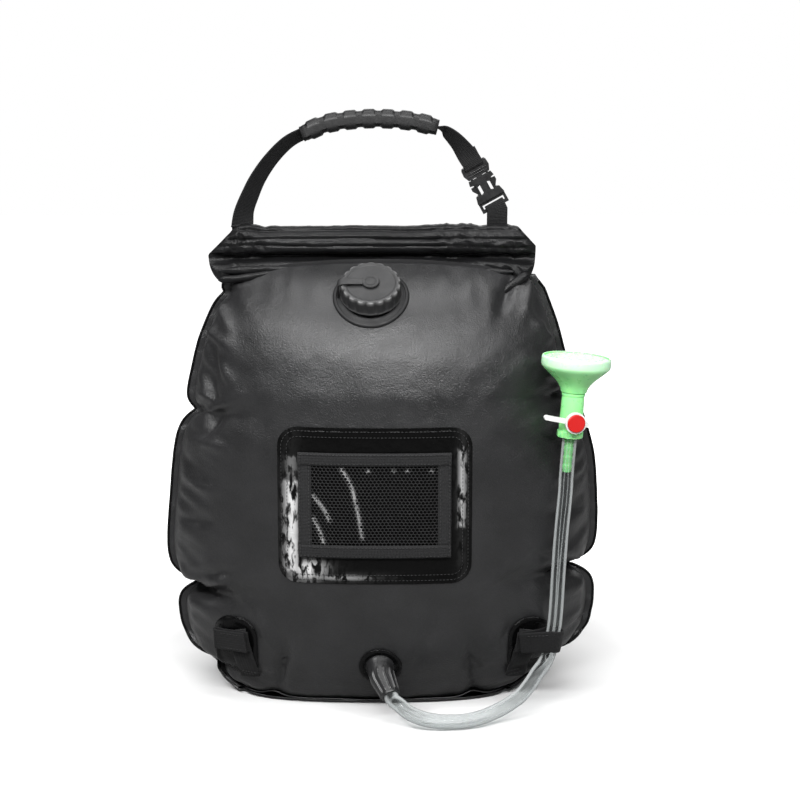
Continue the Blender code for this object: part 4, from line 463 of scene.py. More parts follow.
LOOKS = {
    "fabric": fabric_look("coated_fabric", (0.0095, 0.0095, 0.01), 0.37, 0.03),
    # the roll: a darker, duller copy of the bag's fabric, painted shade for the shade among its folds
    "roll": fabric_look("roll_fabric_shaded", (0.005, 0.005, 0.0053), 0.34, 0.01, 0.16),
    "patch": fabric_look("patch_fabric", (0.002, 0.002, 0.0021), 0.25, 0.0, 0.12),
    "webbing": webbing_look("webbing", (0.0046, 0.0046, 0.0049)),
    "binding": webbing_look("binding", (0.0115, 0.0115, 0.012), 0.8),
    # the net's paler colour is a painted highlight near the film's glare
    "net": plastic_look(
        "net", (0.011, 0.011, 0.0115), 0.5, wear_and_highlight_colour=(0.8, 0.8, 0.8), clean=True, Specular_IOR_Level=0.35
    ),
    "thread": plastic_look("thread", (0.014, 0.014, 0.0145), 0.6),
    "film": film_look(),
    "hose": hose_look(),
    # the cap's paler rims: rubbed edges and painted highlights
    "cap": plastic_look(
        "cap_plastic", (0.012, 0.012, 0.0125), 0.56, wear_and_highlight_colour=(0.2, 0.2, 0.2), Specular_IOR_Level=0.4
    ),
    # the black plastic's paler colour is painted on the nozzle's rib crests as highlights
    "black": plastic_look("black_plastic", (0.011, 0.011, 0.0115), 0.34, wear_and_highlight_colour=(0.16, 0.16, 0.16)),
    # the flange: a darker, duller copy of the black plastic, painted shade round the foot of the cap
    "flange": plastic_look("flange_plastic_shaded", (0.007, 0.007, 0.0074), 0.52, Specular_IOR_Level=0.25),
    "moulded": plastic_look("moulded_plastic", (0.008, 0.008, 0.0084), 0.34),
    # the grip's paler colour is a painted highlight along its front
    "grip": plastic_look(
        "grip_rubber", (0.005, 0.005, 0.0053), 0.45, 0.0001, wear_and_highlight_colour=(0.035, 0.035, 0.035),
        Specular_IOR_Level=0.3,
    ),
    # the paler green painted on the shower head's top rim is a painted highlight
    "green": plastic_look(
        "green_plastic", (0.27, 0.74, 0.27), 0.3, 0.00002, wear_and_highlight_colour=(0.52, 0.8, 0.54), uneven=0.03, clean=True,
        Subsurface_Weight=0.2, Subsurface_Scale=0.004,
    ),
    "face": plastic_look(
        "face_plastic", (0.4, 0.66, 0.4), 0.36, 0.00002, uneven=0.02, Subsurface_Weight=0.2,
        Subsurface_Scale=0.003,
    ),
    "white": plastic_look("white_plastic", (0.62, 0.63, 0.61), 0.4, 0.00003, uneven=0.02),
    "red": plastic_look("red_plastic", (0.44, 0.003, 0.002), 0.4, 0.00003, uneven=0.05),
    "rubber": plastic_look("seal_rubber", (0.1, 0.1, 0.1), 0.8),
}
# the material slot named for each look; mesh_object looks it up but gives it to no piece
SLOTS = {
    "fabric": "coated_fabric", "roll": "coated_fabric", "patch": "coated_fabric", "webbing": "webbing",
    "binding": "binding", "net": "net_fabric", "film": "clear_film",
    "cap": "cap_plastic", "black": "black_plastic", "flange": "black_plastic", "moulded": "black_plastic",
    "grip": "grip_rubber", "green": "green_plastic", "face": "face_plastic",
}
# an empty slot name, meant for a piece that keeps its own material's name
OWN_SLOT = ""


# Pieces
def add_wear_and_highlight(mesh, values):
    """Marks how rubbed and how bright with painted highlight each point of a mesh is, from 0 to 1."""
    marks = mesh.attributes.new("wear_and_highlight", "FLOAT", "POINT")
    marks.data.foreach_set("value", np.asarray(values, np.float32))


def mesh_piece(name, points, faces, look, body, replaced=(), uvs=None, smooth=40, wear_and_highlight=None, slot=None):
    """A mesh that rides on a body, stands for its CAD nodes and has a look."""
    mesh = bpy.data.meshes.new(name)
    mesh.from_pydata([tuple(p) for p in points], [], faces)
    mesh.validate()
    if uvs is not None:
        layer = mesh.uv_layers.new(name="flat")
        for loop in mesh.loops:
            layer.data[loop.index].uv = uvs[loop.vertex_index]
    if wear_and_highlight is not None:
        add_wear_and_highlight(mesh, wear_and_highlight)
    work = bmesh.new()
    work.from_mesh(mesh)
    bmesh.ops.recalc_face_normals(work, faces=work.faces)
    work.to_mesh(mesh)
    work.free()
    return mesh_object(name, mesh, look, body, replaced, smooth, slot)


def mesh_object(name, mesh, look, body, replaced=(), smooth=40, slot=None):
    """The object of a finished mesh, with its look, body and CAD nodes; it looks up a material slot but does
    not use it.
    """
    item = bpy.data.objects.new(name, mesh)
    bpy.context.scene.collection.objects.link(item)
    mesh.shade_smooth()
    mesh.set_sharp_from_angle(angle=math.radians(smooth))
    mesh.materials.clear()
    mesh.materials.append(LOOKS[look])
    if body:
        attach(item, body)
    if replaced:
        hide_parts(*replaced)
    slot = SLOTS.get(look) if slot is None else slot
    return item


def thicken(item, thickness, offset=1.0):
    """Gives a sheet its thickness."""
    solid = item.modifiers.new("thickness", "SOLIDIFY")
    solid.thickness = thickness
    solid.offset = offset
    solid.use_even_offset = False
    return item


def round_edges(item, width, segments, angle=None):
    """Rounds the sharp edges of a piece."""
    made = item.modifiers.new("edges", "BEVEL")
    made.width = width
    made.segments = segments
    made.limit_method = "ANGLE"
    if angle:
        made.angle_limit = angle
        made.harden_normals = False


def smooth_line(points, spacing):
    """Points read at the spacing from a smooth curve through the given points."""
    places = [np.array(point, float) for point in points]
    padded = [2 * places[0] - places[1], *places, 2 * places[-1] - places[-2]]
    dense = []
    for index in range(len(places) - 1):
        a, b, c, d = padded[index : index + 4]
        for t in np.arange(0, 1, 1 / 24):
            first, second, third = c - a, 2 * a - 5 * b + 4 * c - d, 3 * b - a - 3 * c + d
            dense.append((2 * b + first * t + second * t**2 + third * t**3) / 2)
    dense = np.array([*dense, places[-1]])
    lengths = np.concatenate([[0.0], np.cumsum(np.linalg.norm(np.diff(dense, axis=0), axis=1))])
    wanted = np.linspace(0, lengths[-1], max(2, round(lengths[-1] / spacing)) + 1)
    read = np.stack([np.interp(wanted, lengths, dense[:, k]) for k in range(dense.shape[1])], axis=1)
    return read, wanted


def tangents(points, first=None, last=None):
    """Unit directions along a line of points, whose ends can be given."""
    end = len(points) - 1
    ways = [(points[min(i + 1, end)] - points[max(i - 1, 0)]).normalized() for i in range(end + 1)]
    ways[0] = first or ways[0]
    ways[-1] = last or ways[-1]
    return ways


def tube_faces(rows, columns, offset=0, closed=True, caps=True):
    """Faces of a grid of rings."""
    faces = []
    for row in range(rows - 1):
        for column in range(columns if closed else columns - 1):
            after = (column + 1) % columns
            low = offset + row * columns
            faces.append((low + column, low + after, low + columns + after, low + columns + column))
    if caps and closed:
        faces.append(tuple(offset + c for c in reversed(range(columns))))
        faces.append(tuple(offset + (rows - 1) * columns + c for c in range(columns)))
    return faces


WEBBING_SECTION_SHARES = (
    (-1, -0.35), (-0.97, -0.85), (-0.88, -1), (-0.45, -0.94), (0, -1), (0.45, -0.94), (0.88, -1),
    (0.97, -0.85), (1, -0.35), (1, 0.35), (0.97, 0.85), (0.88, 1), (0.45, 0.94), (0, 1), (-0.45, 0.94),
    (-0.88, 1), (-0.97, 0.85), (-1, 0.35),
)


def webbing(
    name, points, across, body, replaced=(), width=WEBBING_WIDTH, thickness=WEBBING_THICKNESS,
    first=None, last=None, look="webbing",
):
    """Webbing along points, whose width lies along each across direction; its weave runs along it."""
    rings, uvs = [], []
    run = 0.0
    for index, (point, way, side) in enumerate(zip(points, tangents(points, first, last), across)):
        if index:
            run += (point - points[index - 1]).length
        side = (side - way * side.dot(way)).normalized()
        normal = way.cross(side)
        for wide, deep in WEBBING_SECTION_SHARES:
            rings.append(point + side * wide * width / 2 + normal * deep * thickness / 2)
            uvs.append((wide * width / 2, run))
    faces = tube_faces(len(points), len(WEBBING_SECTION_SHARES))
    return mesh_piece(name, rings, faces, look, body, replaced, uvs, smooth=60)


def smooth_strap(points, across):
    """A strap's points and across directions, read finely from a few."""
    read, _ = smooth_line([(*point, *side) for point, side in zip(points, across)], STRAP_SPACING)
    return [Vector(row[:3]) for row in read], [Vector(row[3:]).normalized() for row in read]


def frame_at(origin, z_direction, x_hint):
    """A matrix at the origin whose Z is the direction and whose X is nearest the hint."""
    z = z_direction.normalized()
    x = (x_hint - z * x_hint.dot(z)).normalized()
    matrix = Matrix((x, z.cross(x), z)).transposed().to_4x4()
    matrix.translation = origin
    return matrix


def round_angles(steps):
    """Angles all round in equal steps."""
    return [2 * math.pi * step / steps for step in range(steps)]


def lathe(name, profile, steps, matrix, look, body, replaced=(), shape=None, wear_and_highlight=None, smooth=35):
    """A turned piece from a closed (radius, height) profile; points on the axis close it."""
    points, marks, rings = [], [], []
    for row, (radius, height) in enumerate(profile):
        if radius == 0:
            rings.append([len(points)] * steps)
            points.append(matrix @ Vector((0, 0, height)))
            marks.append(0)
            continue
        rings.append([len(points) + k for k in range(steps)])
        for angle in round_angles(steps):
            reach = radius + (shape(row, angle) if shape else 0)
            points.append(matrix @ Vector((reach * math.cos(angle), reach * math.sin(angle), height)))
            marks.append(wear_and_highlight(row, angle) if wear_and_highlight else 0)
    closed = profile[0][0] > 0
    faces = []
    for row in range(len(profile) if closed else len(profile) - 1):
        low, high = rings[row], rings[(row + 1) % len(profile)]
        for step in range(steps):
            after = (step + 1) % steps
            ring = [low[step], low[after], high[after], high[step]]
            face = [v for k, v in enumerate(ring) if v not in ring[:k]]
            if len(face) > 2:
                faces.append(face)
    return mesh_piece(name, points, faces, look, body, replaced, smooth=smooth, wear_and_highlight=marks)


def stitches(name, line, body):
    """A row of stitches lying on a line of (point, normal)."""
    points, faces = [], []
    run = [0.0]
    for (a, _), (b, _) in zip(line, line[1:]):
        run.append(run[-1] + (b - a).length)
    for number in range(int(run[-1] / STITCH_PITCH)):
        start = number * STITCH_PITCH
        ends = []
        for target in (start, start + STITCH_LENGTH / 2, start + STITCH_LENGTH):
            k = min(int(np.searchsorted(run, target, side="right")) - 1, len(line) - 2)
            share = (target - run[k]) / (run[k + 1] - run[k])
            ends.append((line[k][0].lerp(line[k + 1][0], share), line[k][1]))
        normal = ends[1][1]
        way = (ends[2][0] - ends[0][0]).normalized()
        side = way.cross(normal).normalized()
        base = len(points)
        for (place, _), size in zip(ends, STITCH_SHARES):
            for angle in round_angles(6):
                around = side * math.cos(angle) + normal * (math.sin(angle) + 0.6 * size)
                points.append(place + around * STITCH_RADIUS * size)
        faces += tube_faces(3, 6, base)
    return mesh_piece(name, points, faces, "thread", body, smooth=80)


# Stage
# (name, place, target, width, watts, height)
LIGHTS = (
    ("front_box", (-0.1, -1.75, 1.65), (0, 0, 0.28), 1.9, 78, 0.3),
    ("left_box", (-1.6, -0.95, 2.05), (-0.1, 0, 0.3), 0.7, 32, 0.3),
    ("right_box", (1.4, -1.2, 1.85), (0.1, 0, 0.3), 0.8, 22, 0.3),
    ("overhead", (0.0, -0.05, 1.9), (0, 0, 0.3), 1.5, 24, 0.9),
    ("back_fill", (0.2, 2.0, 1.3), (0, 0, 0.25), 1.6, 12, 1.6),
)
WORLD_STRENGTH = 0.05
WORLD_STRENGTH_SEEN = 1.0
FLOOR_COLOUR = (0.66, 0.66, 0.66)
FLOOR_COLOUR_BOUNCED = (0.3, 0.3, 0.3, 1)
# the floor's glow rises from the first to the second strength between the two distances
FLOOR_GLOW_STRENGTHS = (0.02, 1.0)
FLOOR_GLOW_REACH = (0.26, 0.62)
WHITE = (1, 1, 1, 1)


def add_light(name, place, target, width, watts, height):
    """A soft box that faces its target."""
    data = bpy.data.lights.new(name, "AREA")
    data.shape = "RECTANGLE"
    data.size = width
    data.size_y = height
    data.energy = watts
    item = bpy.data.objects.new(name, data)
    item.location = place
    item.rotation_euler = (Vector(target) - Vector(place)).to_track_quat("-Z", "Y").to_euler()
    bpy.context.scene.collection.objects.link(item)


def add_camera():
    """The camera at the photograph's viewing angle."""
    data = bpy.data.cameras.new("camera")
    data.lens = CAMERA_LENS
    data.sensor_width = CAMERA_SENSOR_WIDTH
    data.clip_start = CAMERA_CLIP_START
    camera = bpy.data.objects.new("camera", data)
    away = Vector((0, -math.cos(CAMERA_ELEVATION), math.sin(CAMERA_ELEVATION)))
    camera.location = CAMERA_TARGET + away * CAMERA_DISTANCE
    camera.rotation_euler = (math.pi / 2 - CAMERA_ELEVATION, 0, 0)
    bpy.context.scene.collection.objects.link(camera)
    bpy.context.scene.camera = camera


def add_world():
    """White surroundings that the camera sees, and that hardly light the object."""
    world = bpy.data.worlds.new("studio")
    bpy.context.scene.world = world
    world.use_nodes = True
    tree = world.node_tree
    background = tree.nodes["Background"]
    rays = tree.nodes.new("ShaderNodeLightPath")
    seen = tree.nodes.new("ShaderNodeMath")
    seen.operation = "MAXIMUM"
    tree.links.new(rays.outputs["Is Camera Ray"], seen.inputs[0])
    tree.links.new(rays.outputs["Is Transmission Ray"], seen.inputs[1])
    strength = tree.nodes.new("ShaderNodeMapRange")
    strength.inputs["To Min"].default_value = WORLD_STRENGTH
    strength.inputs["To Max"].default_value = WORLD_STRENGTH_SEEN
    tree.links.new(seen.outputs["Value"], strength.inputs["Value"])
    tree.links.new(strength.outputs["Result"], background.inputs["Strength"])
    background.inputs["Color"].default_value = WHITE


def floor_look():
    """A pale floor that turns white away from the object and is dimmer in what it throws back."""
    look = Look("floor", FLOOR_COLOUR, 0.9)
    glow = look.node("ShaderNodeEmission")
    glow.inputs["Color"].default_value = WHITE
    source = look.node("ShaderNodeTexCoord")
    reach = look.node("ShaderNodeVectorMath", {"operation": "LENGTH"})
    look.link(source.outputs["Object"], reach.inputs[0])
    near_end, far_end = FLOOR_GLOW_REACH
    weak, strong = FLOOR_GLOW_STRENGTHS
    rise = look.node("ShaderNodeMapRange", From_Min=near_end, From_Max=far_end, To_Min=weak, To_Max=strong)
    look.link(reach.outputs["Value"], rise.inputs["Value"])
    look.link(rise.outputs["Result"], glow.inputs["Strength"])
    both = look.node("ShaderNodeAddShader")
    look.link(look.shader.outputs["BSDF"], both.inputs[0])
    look.link(glow.outputs["Emission"], both.inputs[1])
    rays = look.node("ShaderNodeLightPath")
    dim = look.node("ShaderNodeBsdfDiffuse")
    dim.inputs["Color"].default_value = FLOOR_COLOUR_BOUNCED
    look.surface(rays.outputs["Is Camera Ray"], dim.outputs["BSDF"], both.outputs["Shader"])
    return look.material


def build_stage():
    """Camera, soft studio lights, white surroundings and a pale floor that keeps the shadow."""
    add_camera()
    bpy.context.scene.view_settings.view_transform = "Standard"
    for light in LIGHTS:
        add_light(*light)
    add_world()
    floor = bpy.data.meshes.new("floor")
    work = bmesh.new()
    bmesh.ops.create_grid(work, x_segments=1, y_segments=1, size=FLOOR_SIZE / 2)
    work.to_mesh(floor)
    work.free()
    item = bpy.data.objects.new("floor", floor)
    item.location = (0, 0, -FLOOR_DROP)
    bpy.context.scene.collection.objects.link(item)
    floor.materials.append(floor_look())
    item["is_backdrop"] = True


def build_hose():
    """The clear hose, on the CAD model's route."""
    curve = bpy.data.curves.new("clear_hose", "CURVE")
    curve.dimensions = "3D"
    curve.bevel_depth = HOSE_RADIUS
    curve.bevel_resolution = 6
    curve.use_fill_caps = True
    curve.resolution_u = 8
    spline = curve.splines.new("BEZIER")
    route = [HOSE_START, HOSE_LEAD, *HOSE_ROUTE, HOSE_STRAIGHT, HOSE_TOP]
    spline.bezier_points.add(len(route) - 1)
    for point, place in zip(spline.bezier_points, route):
        point.co = place
        point.handle_left_type = "AUTO"
        point.handle_right_type = "AUTO"
    hose = bpy.data.objects.new("clear_hose", curve)
    bpy.context.scene.collection.objects.link(hose)
    curve.materials.append(LOOKS["hose"])
    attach(hose, "bag")
    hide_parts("hose")


# Bladder
# values across a panel, -1 to 1 between the seams, of a seam's middle and its edge
SEAM_MIDDLE_SHARE = 1.02
SEAM_EDGE_SHARE = 1.04
LIP_END_SHARE = 1.06
LIP_FADE_SHARE = 0.12
LIP_PLACE_SHARE = -0.012
BACK_SETTLE_SHARE = 0.4
EDGE_STEPS = 400
EDGE_SOFTENING_STEPS = 21
TAPER_START_SHARE = 0.965
# the rounded edge takes over between these shares of the seam's height
ROUNDED_START_SHARE = 0.06
ROUNDED_FULL_SHARE = 0.14


def lookup(table, share):
    """A table's value at a share of the height."""
    return float(np.interp(share, [row[0] for row in table], [row[1] for row in table]))


def clamp(value):
    """The value held between 0 and 1."""
    return min(1.0, max(0.0, value))


def near(value, middle, spread):
    """1 at the middle, falling smoothly to 0 beyond the spread."""
    return math.exp(-(((value - middle) / spread) ** 2))


def edge_half_width(side, share):
    """The seam's outer edge from the middle, and how deep its pucker is."""
    if side < 0:
        table, notches = LEFT_EDGE_SHARES, LEFT_NOTCH_SHARES
    else:
        table, notches = RIGHT_EDGE_SHARES, RIGHT_NOTCH_SHARES
    pucker = sum(depth * near(share, height, NOTCH_SPREAD_SHARE) for height, depth in notches)
    return BAG_HALF_WIDTH * lookup(table, share), BAG_HALF_WIDTH * pucker


def seam_frame(side, share):
    """The seam's point, outward direction and separation direction at a share of its height."""
    height = SEAM_TOP * share
    low = max(0.0, 1.0 - height / CORNER_HEIGHT)
    first = SEAM_TOP * ROW_SHARES[0]
    rise = clamp((height - first) / (CORNER_HEIGHT - first))
    turn = math.pi / 2 * rise**0.5
    out_turn = math.pi / 4 * low
    outward = Vector((side * math.cos(out_turn), -math.sin(out_turn), 0))
    apart = Vector((0, -math.sin(turn), math.cos(turn)))
    hull, pucker = edge_half_width(side, share)
    x = side * (hull - pucker - SEAM_WIDTH)
    z = max(height, SEAM_GAP / 2 + PANEL_THICKNESS)
    return Vector((x, -BASE_CORNER_SETBACK * low, z)), outward, apart


def roll_surface(turned, lift):
    """A point of the rolled sheet's outer side in (depth, height), from its start underneath, lifted."""
    out = lift - ROLL_LAYER * turned / (2 * math.pi)
    around = -math.pi / 2 - turned
    return (ROLL_HALF_DEPTH + out) * math.cos(around), (ROLL_HALF_HEIGHT + out) * math.sin(around)


def with_seams(columns):
    """The columns' values across a panel with those of its two seams."""
    return [-SEAM_EDGE_SHARE, -SEAM_MIDDLE_SHARE, *columns, SEAM_MIDDLE_SHARE, SEAM_EDGE_SHARE]


def middle_place(front, index, share):
    """The (depth, height) of a panel's middle at a row."""
    if front:
        lowest = 2 * (SEAM_GAP / 2 + PANEL_THICKNESS)
        height = SHOULDER_HEIGHT * share if index else lowest
        return -BAG_HALF_DEPTH * lookup(DEPTH_SHARES, share if index else 0.0), height
    base_rows = len(BASE_ROW_SHARES)
    if index < base_rows:
        return BAG_HALF_DEPTH * DEPTH_SHARES[0][1] * BASE_ROW_SHARES[index], 0.0
    base_top = ROW_SHARES[base_rows - 1]
    climb = (share - base_top) / (1.0 - base_top)
    return BAG_HALF_DEPTH * lookup(DEPTH_SHARES, climb), SHOULDER_HEIGHT * climb


def under_roll(front, edge, stand):
    """The (depth, height) of a panel's last row, which lies on the roll."""
    angle = ROLL_EDGE_ANGLE * stand
    clear = 2 * GAP + PANEL_THICKNESS * (1 - stand)
    depth, height = roll_surface(angle, clear)
    if not front:
        settled = min(1.0, stand / BACK_SETTLE_SHARE)
        behind, above = roll_surface(2 * math.pi - angle, clear)
        depth = -depth + (behind + depth) * settled
        height += (above - height) * settled
    return depth + edge.y * (1 - stand), ROLL_HEIGHT + height


def panel_rows(front, columns):
    """Rows of points of a panel's outer face at the CAD model's heights, seams included."""
    sign = -1.0 if front else 1.0
    offset = SEAM_GAP / 2 + PANEL_THICKNESS
    rows = []
    for index, share in enumerate(ROW_SHARES):
        left, left_out, left_apart = seam_frame(-1, share)
        right, right_out, right_apart = seam_frame(1, share)
        low = offset * 2 if index == 0 and front else 0.0
        middle_y, middle_z = middle_place(front, index, share)
        left_x = SEAM_WIDTH - edge_half_width(-1, share)[0]
        right_x = edge_half_width(1, share)[0] - SEAM_WIDTH
        parted = 1.0 + CORNER_SPREAD_SHARE * max(0.0, 1.0 - SEAM_TOP * share / CORNER_HEIGHT)
        row = []
        for across in columns:
            stand = (1.0 - abs(across) ** BULGE_POWER) ** BULGE_ROUND
            x = (left.x * (1 - across) + right.x * (1 + across)) / 2
            smooth_x = (left_x * (1 - across) + right_x * (1 + across)) / 2
            x = smooth_x + (x - smooth_x) * abs(across) ** 4
            seam, apart = (left, left_apart) if across < 0 else (right, right_apart)
            edge = seam - apart * offset * parted * sign
            y = edge.y + (middle_y - edge.y) * stand
            z = edge.z + (middle_z - edge.z) * stand
            if index == len(ROW_SHARES) - 1:
                y, z = under_roll(front, edge, stand)
            if not front and index < len(BASE_ROW_SHARES):
                z = max(0.0, edge.z * (1 - min(1.0, stand * BASE_FLAT_SHARE)))
            if index == 0:
                z = edge.z + (low - edge.z) * min(1.0, stand * BASE_FLAT_SHARE)
            row.append(Vector((x, y, z)))
        left_seam = [row[0] + left_out * SEAM_WIDTH, row[0] + left_out * SEAM_WIDTH * 0.5]
        right_seam = [row[-1] + right_out * SEAM_WIDTH * 0.5, row[-1] + right_out * SEAM_WIDTH]
        rows.append([*left_seam, *row, *right_seam])
    lip = []
    for point, across in zip(rows[0], with_seams(columns)):
        width = clamp((LIP_END_SHARE - abs(across)) / LIP_FADE_SHARE) ** 0.5
        lip.append(point + Vector((0, -SEAM_WIDTH, LIP_RISE)) * width)
    return np.array([lip, *rows])


def between(places, values, wanted):
    """Cubic curves through rows of values that never swing past them."""
    places = np.asarray(places, float)
    step = np.diff(places)[:, None, None]
    slope = np.diff(values, axis=0) / step
    product = slope[:-1] * slope[1:]
    inner = np.where(product > 0, 2 * product / (slope[:-1] + slope[1:] + 1e-12), 0)
    ends = np.concatenate([slope[:1], inner, slope[-1:]])
    found = []
    for target in wanted:
        k = min(int(np.searchsorted(places, target, side="right")) - 1, len(places) - 2)
        h = places[k + 1] - places[k]
        t = (target - places[k]) / h
        found.append(
            values[k] * (2 * t**3 - 3 * t**2 + 1)
            + ends[k] * h * (t**3 - 2 * t**2 + t)
            + values[k + 1] * (3 * t**2 - 2 * t**3)
            + ends[k + 1] * h * (t**3 - t**2)
        )
    return np.array(found)


def rounded_edge(side, shares):
    """The seam's outer edge from the middle, with lobes that swell between its puckers."""
    steps = np.linspace(0, 1, EDGE_STEPS + 1)
    hull = np.array([edge_half_width(side, share)[0] for share in steps])
    spread = np.hanning(2 * EDGE_SOFTENING_STEPS + 1)
    edge = np.convolve(np.pad(hull, EDGE_SOFTENING_STEPS, mode="edge"), spread / spread.sum(), "valid")
    notches = (*LEFT_NOTCH_SHARES, LEFT_PINCH_SHARE) if side < 0 else RIGHT_NOTCH_SHARES
    for place, depth in notches:
        edge -= BAG_HALF_WIDTH * depth * np.exp(-(np.abs(steps - place) / LOBE_SPREAD_SHARE) ** LOBE_POWER)
    edge -= SEAM_TAPER * np.clip((steps - TAPER_START_SHARE) / (1 - TAPER_START_SHARE), 0, 1)
    return np.interp(shares, steps, edge)


def shape_edges(grid, across, shares):
    """Moves the seams and the fabric beside them to the rounded edge."""
    reach = np.minimum(np.abs(across), 1.0) ** 4
    taken = np.clip((shares - ROUNDED_START_SHARE) / (ROUNDED_FULL_SHARE - ROUNDED_START_SHARE), 0, 1)
    for side, column in ((-1, 0), (1, -1)):
        shift = (side * rounded_edge(side, shares) - grid[:, column, 0]) * taken
        chosen = across * side > 0
        grid[:, chosen, 0] += shift[:, None] * reach[chosen]


def fine_panel(front):
    """The panel's fine grid with each column's across value and each row's height share."""
    half = PANEL_COLUMNS // 2
    outward = [math.sin(math.pi / 2 * k / half) ** 0.9 for k in range(half + 1)]
    columns = [-value for value in reversed(outward[1:])] + outward
    coarse = panel_rows(front, columns)
    places = [LIP_PLACE_SHARE, *ROW_SHARES]
    wanted = []
    for a, b in zip(places, places[1:]):
        steps = max(3, min(ROWS_BETWEEN, round((b - a) * ROWS_OVER_HEIGHT)))
        wanted += [a + (b - a) * k / steps for k in range(steps)]
    shares = np.array([*wanted, 1.0])
    across = np.array(with_seams(columns))
    grid = between(places, coarse, shares)
    shape_edges(grid, across, shares)
    return grid, across, shares


def ridged(x, y, z):
    """Noise with sharp valleys, from -1 to 1."""
    return 1 - 2 * abs(noise.noise(Vector((x, y, z)))) * 1.6


# (x, height, direction in degrees, length, depth) of folds given one by one; a depth below zero is a valley
FOLDS = (
    (0.121, 0.392, -119, 0.03, -0.005), (0.134, 0.386, -104, 0.026, 0.003),
    (0.132, 0.36, -52, 0.04, 0.002), (0.146, 0.352, -66, 0.05, -0.0016), (0.15, 0.3, -25, 0.035, -0.003),
    (0.14, 0.285, 20, 0.04, 0.0025), (-0.14, 0.385, -125, 0.05, -0.003),
    (-0.15, 0.35, -110, 0.055, 0.0026), (-0.165, 0.32, -70, 0.035, -0.0028),
    (-0.168, 0.262, 35, 0.045, 0.004), (-0.16, 0.25, 60, 0.03, -0.0035),
    (-0.172, 0.246, -10, 0.03, 0.003), (-0.175, 0.12, 12, 0.035, -0.0032),
    (-0.165, 0.108, 30, 0.03, 0.003), (0.1, 0.06, 75, 0.03, 0.0022), (0.165, 0.135, 160, 0.03, -0.0026),
    (-0.095, 0.02, 80, 0.045, -0.005), (0.083, 0.02, 95, 0.045, -0.0052), (0.012, 0.05, 100, 0.06, 0.002),
    (0.03, 0.045, 70, 0.05, -0.0016), (-0.1, 0.06, 115, 0.04, 0.0022), (0.09, 0.12, 35, 0.045, 0.0016),
    (-0.125, 0.1, 140, 0.04, 0.0014), (-0.148, 0.372, -70, 0.03, 0.0034),
    (-0.16, 0.345, -35, 0.028, 0.003), (-0.155, 0.335, -80, 0.034, -0.003),
    (-0.15, 0.318, -50, 0.026, 0.0024), (-0.162, 0.3, -60, 0.026, -0.0026),
    (0.15, 0.338, -50, 0.03, 0.0022), (0.158, 0.322, -140, 0.026, -0.002),
    (0.12, 0.33, -40, 0.05, 0.0012), (-0.176, 0.205, -8, 0.026, 0.0022),
    (-0.18, 0.17, 10, 0.024, -0.0022), (0.176, 0.215, 185, 0.026, 0.0022),
    (0.178, 0.18, 172, 0.026, -0.0022), (-0.15, 0.06, 60, 0.024, 0.0026),
    (0.15, 0.075, 120, 0.024, 0.0026),
)
FOLD_WIDTH = 0.0046
FOLD_STRENGTH = 1.5
FOLD_WAVER = 0.002
FOLD_WAVER_LENGTH = 0.02
FOLD_LEAD = 0.02
FOLD_TRAIL = 0.04
# pleats at the seams: (height, reach from the seam, length along it, length across it, seed)
PLEATS = ((0.0022, 0.02, 0.013, 0.05, 3), (0.0018, 0.05, 0.03, 0.09, 5))
SEAM_HOLD = 0.01
# the fan of folds at a pucker: its width at the seam, reach, valley, ridge and the ridges' place
FAN_WIDTH = 0.0055
FAN_REACH = 0.04
FAN_VALLEY = 0.008
FAN_RIDGE = 0.0048
FAN_RIDGE_PLACE = 0.012
FAN_FULL_NOTCH_SHARE = 0.11
# upright folds near a level: (height, level, reach, width, seed)
UPRIGHT_FOLDS = ((0.002, 0.0, 0.018, 0.024, 11), (0.0009, 0.395, 0.02, 0.016, 17))
UPRIGHT_LENGTH = 0.06
# soft waves all over: (height, length, seed)
WAVES = ((0.0012, 0.055, 0), (0.00035, 0.017, 2))
BACK_SEED = 40
# how far from the window and the filler the folds grow to their full height
WINDOW_CALM = 0.03
FILLER_CALM = 0.012
WINDOW_FOLD_SHARE = 0.12
LIP_NOTCHES = (-0.1015, 0.0835)
LIP_NOTCH_RISE = 0.005
LIP_NOTCH_WIDTH = 0.0095
LIP_WAVE = 0.0012
LIP_WAVE_LENGTH = 0.03
LIP_NOTCH_TALL_SHARE = 0.035
LIP_WAVE_TALL_SHARE = 0.02
SEAM_WAVE = 0.0011
SEAM_WAVE_LENGTH = 0.018
SEAM_WAVE_START_SHARE = 0.05
SEAM_WAVE_END_SHARE = 0.98
FOLD_FADE_SHARE = 0.03
BACK_BASE_SHARE = 0.09
RIM_START_SHARE = 0.03
RIM_END_SHARE = 0.985


def calm_front(x, z):
    """How much of its folds the front keeps near the window and the filler, from 0 to 1."""
    calm_x = max(0.0, abs(x - WINDOW_X) - WINDOW_WIDTH / 2)
    calm_z = max(0.0, abs(z - WINDOW_HEIGHT) - WINDOW_TALL / 2)
    filler = math.hypot(x - NECK_PLACE.x, (z - NECK_PLACE.z) * 1.2) - NECK_FLANGE_RADIUS
    kept = min(1.0, WINDOW_FOLD_SHARE + math.hypot(calm_x, calm_z) / WINDOW_CALM)
    return kept * clamp(filler / FILLER_CALM)


def single_folds(x, z, hold):
    """The height of the folds that were placed one by one."""
    height = 0.0
    for fold_x, fold_z, degrees, length, depth in FOLDS:
        way_x, way_z = math.cos(math.radians(degrees)), math.sin(math.radians(degrees))
        down = (x - fold_x) * way_x + (z - fold_z) * way_z
        if -FOLD_LEAD < down < length + FOLD_TRAIL:
            off = (x - fold_x) * way_z - (z - fold_z) * way_x
            off += FOLD_WAVER * noise.noise(Vector((down / FOLD_WAVER_LENGTH, fold_x * 40, 7)))
            fade = near(down, length / 2, length * 0.55)
            width = FOLD_WIDTH * (0.7 + down / length * 0.6)
            height += FOLD_STRENGTH * depth * hold * fade * near(off, 0, width)
    return height


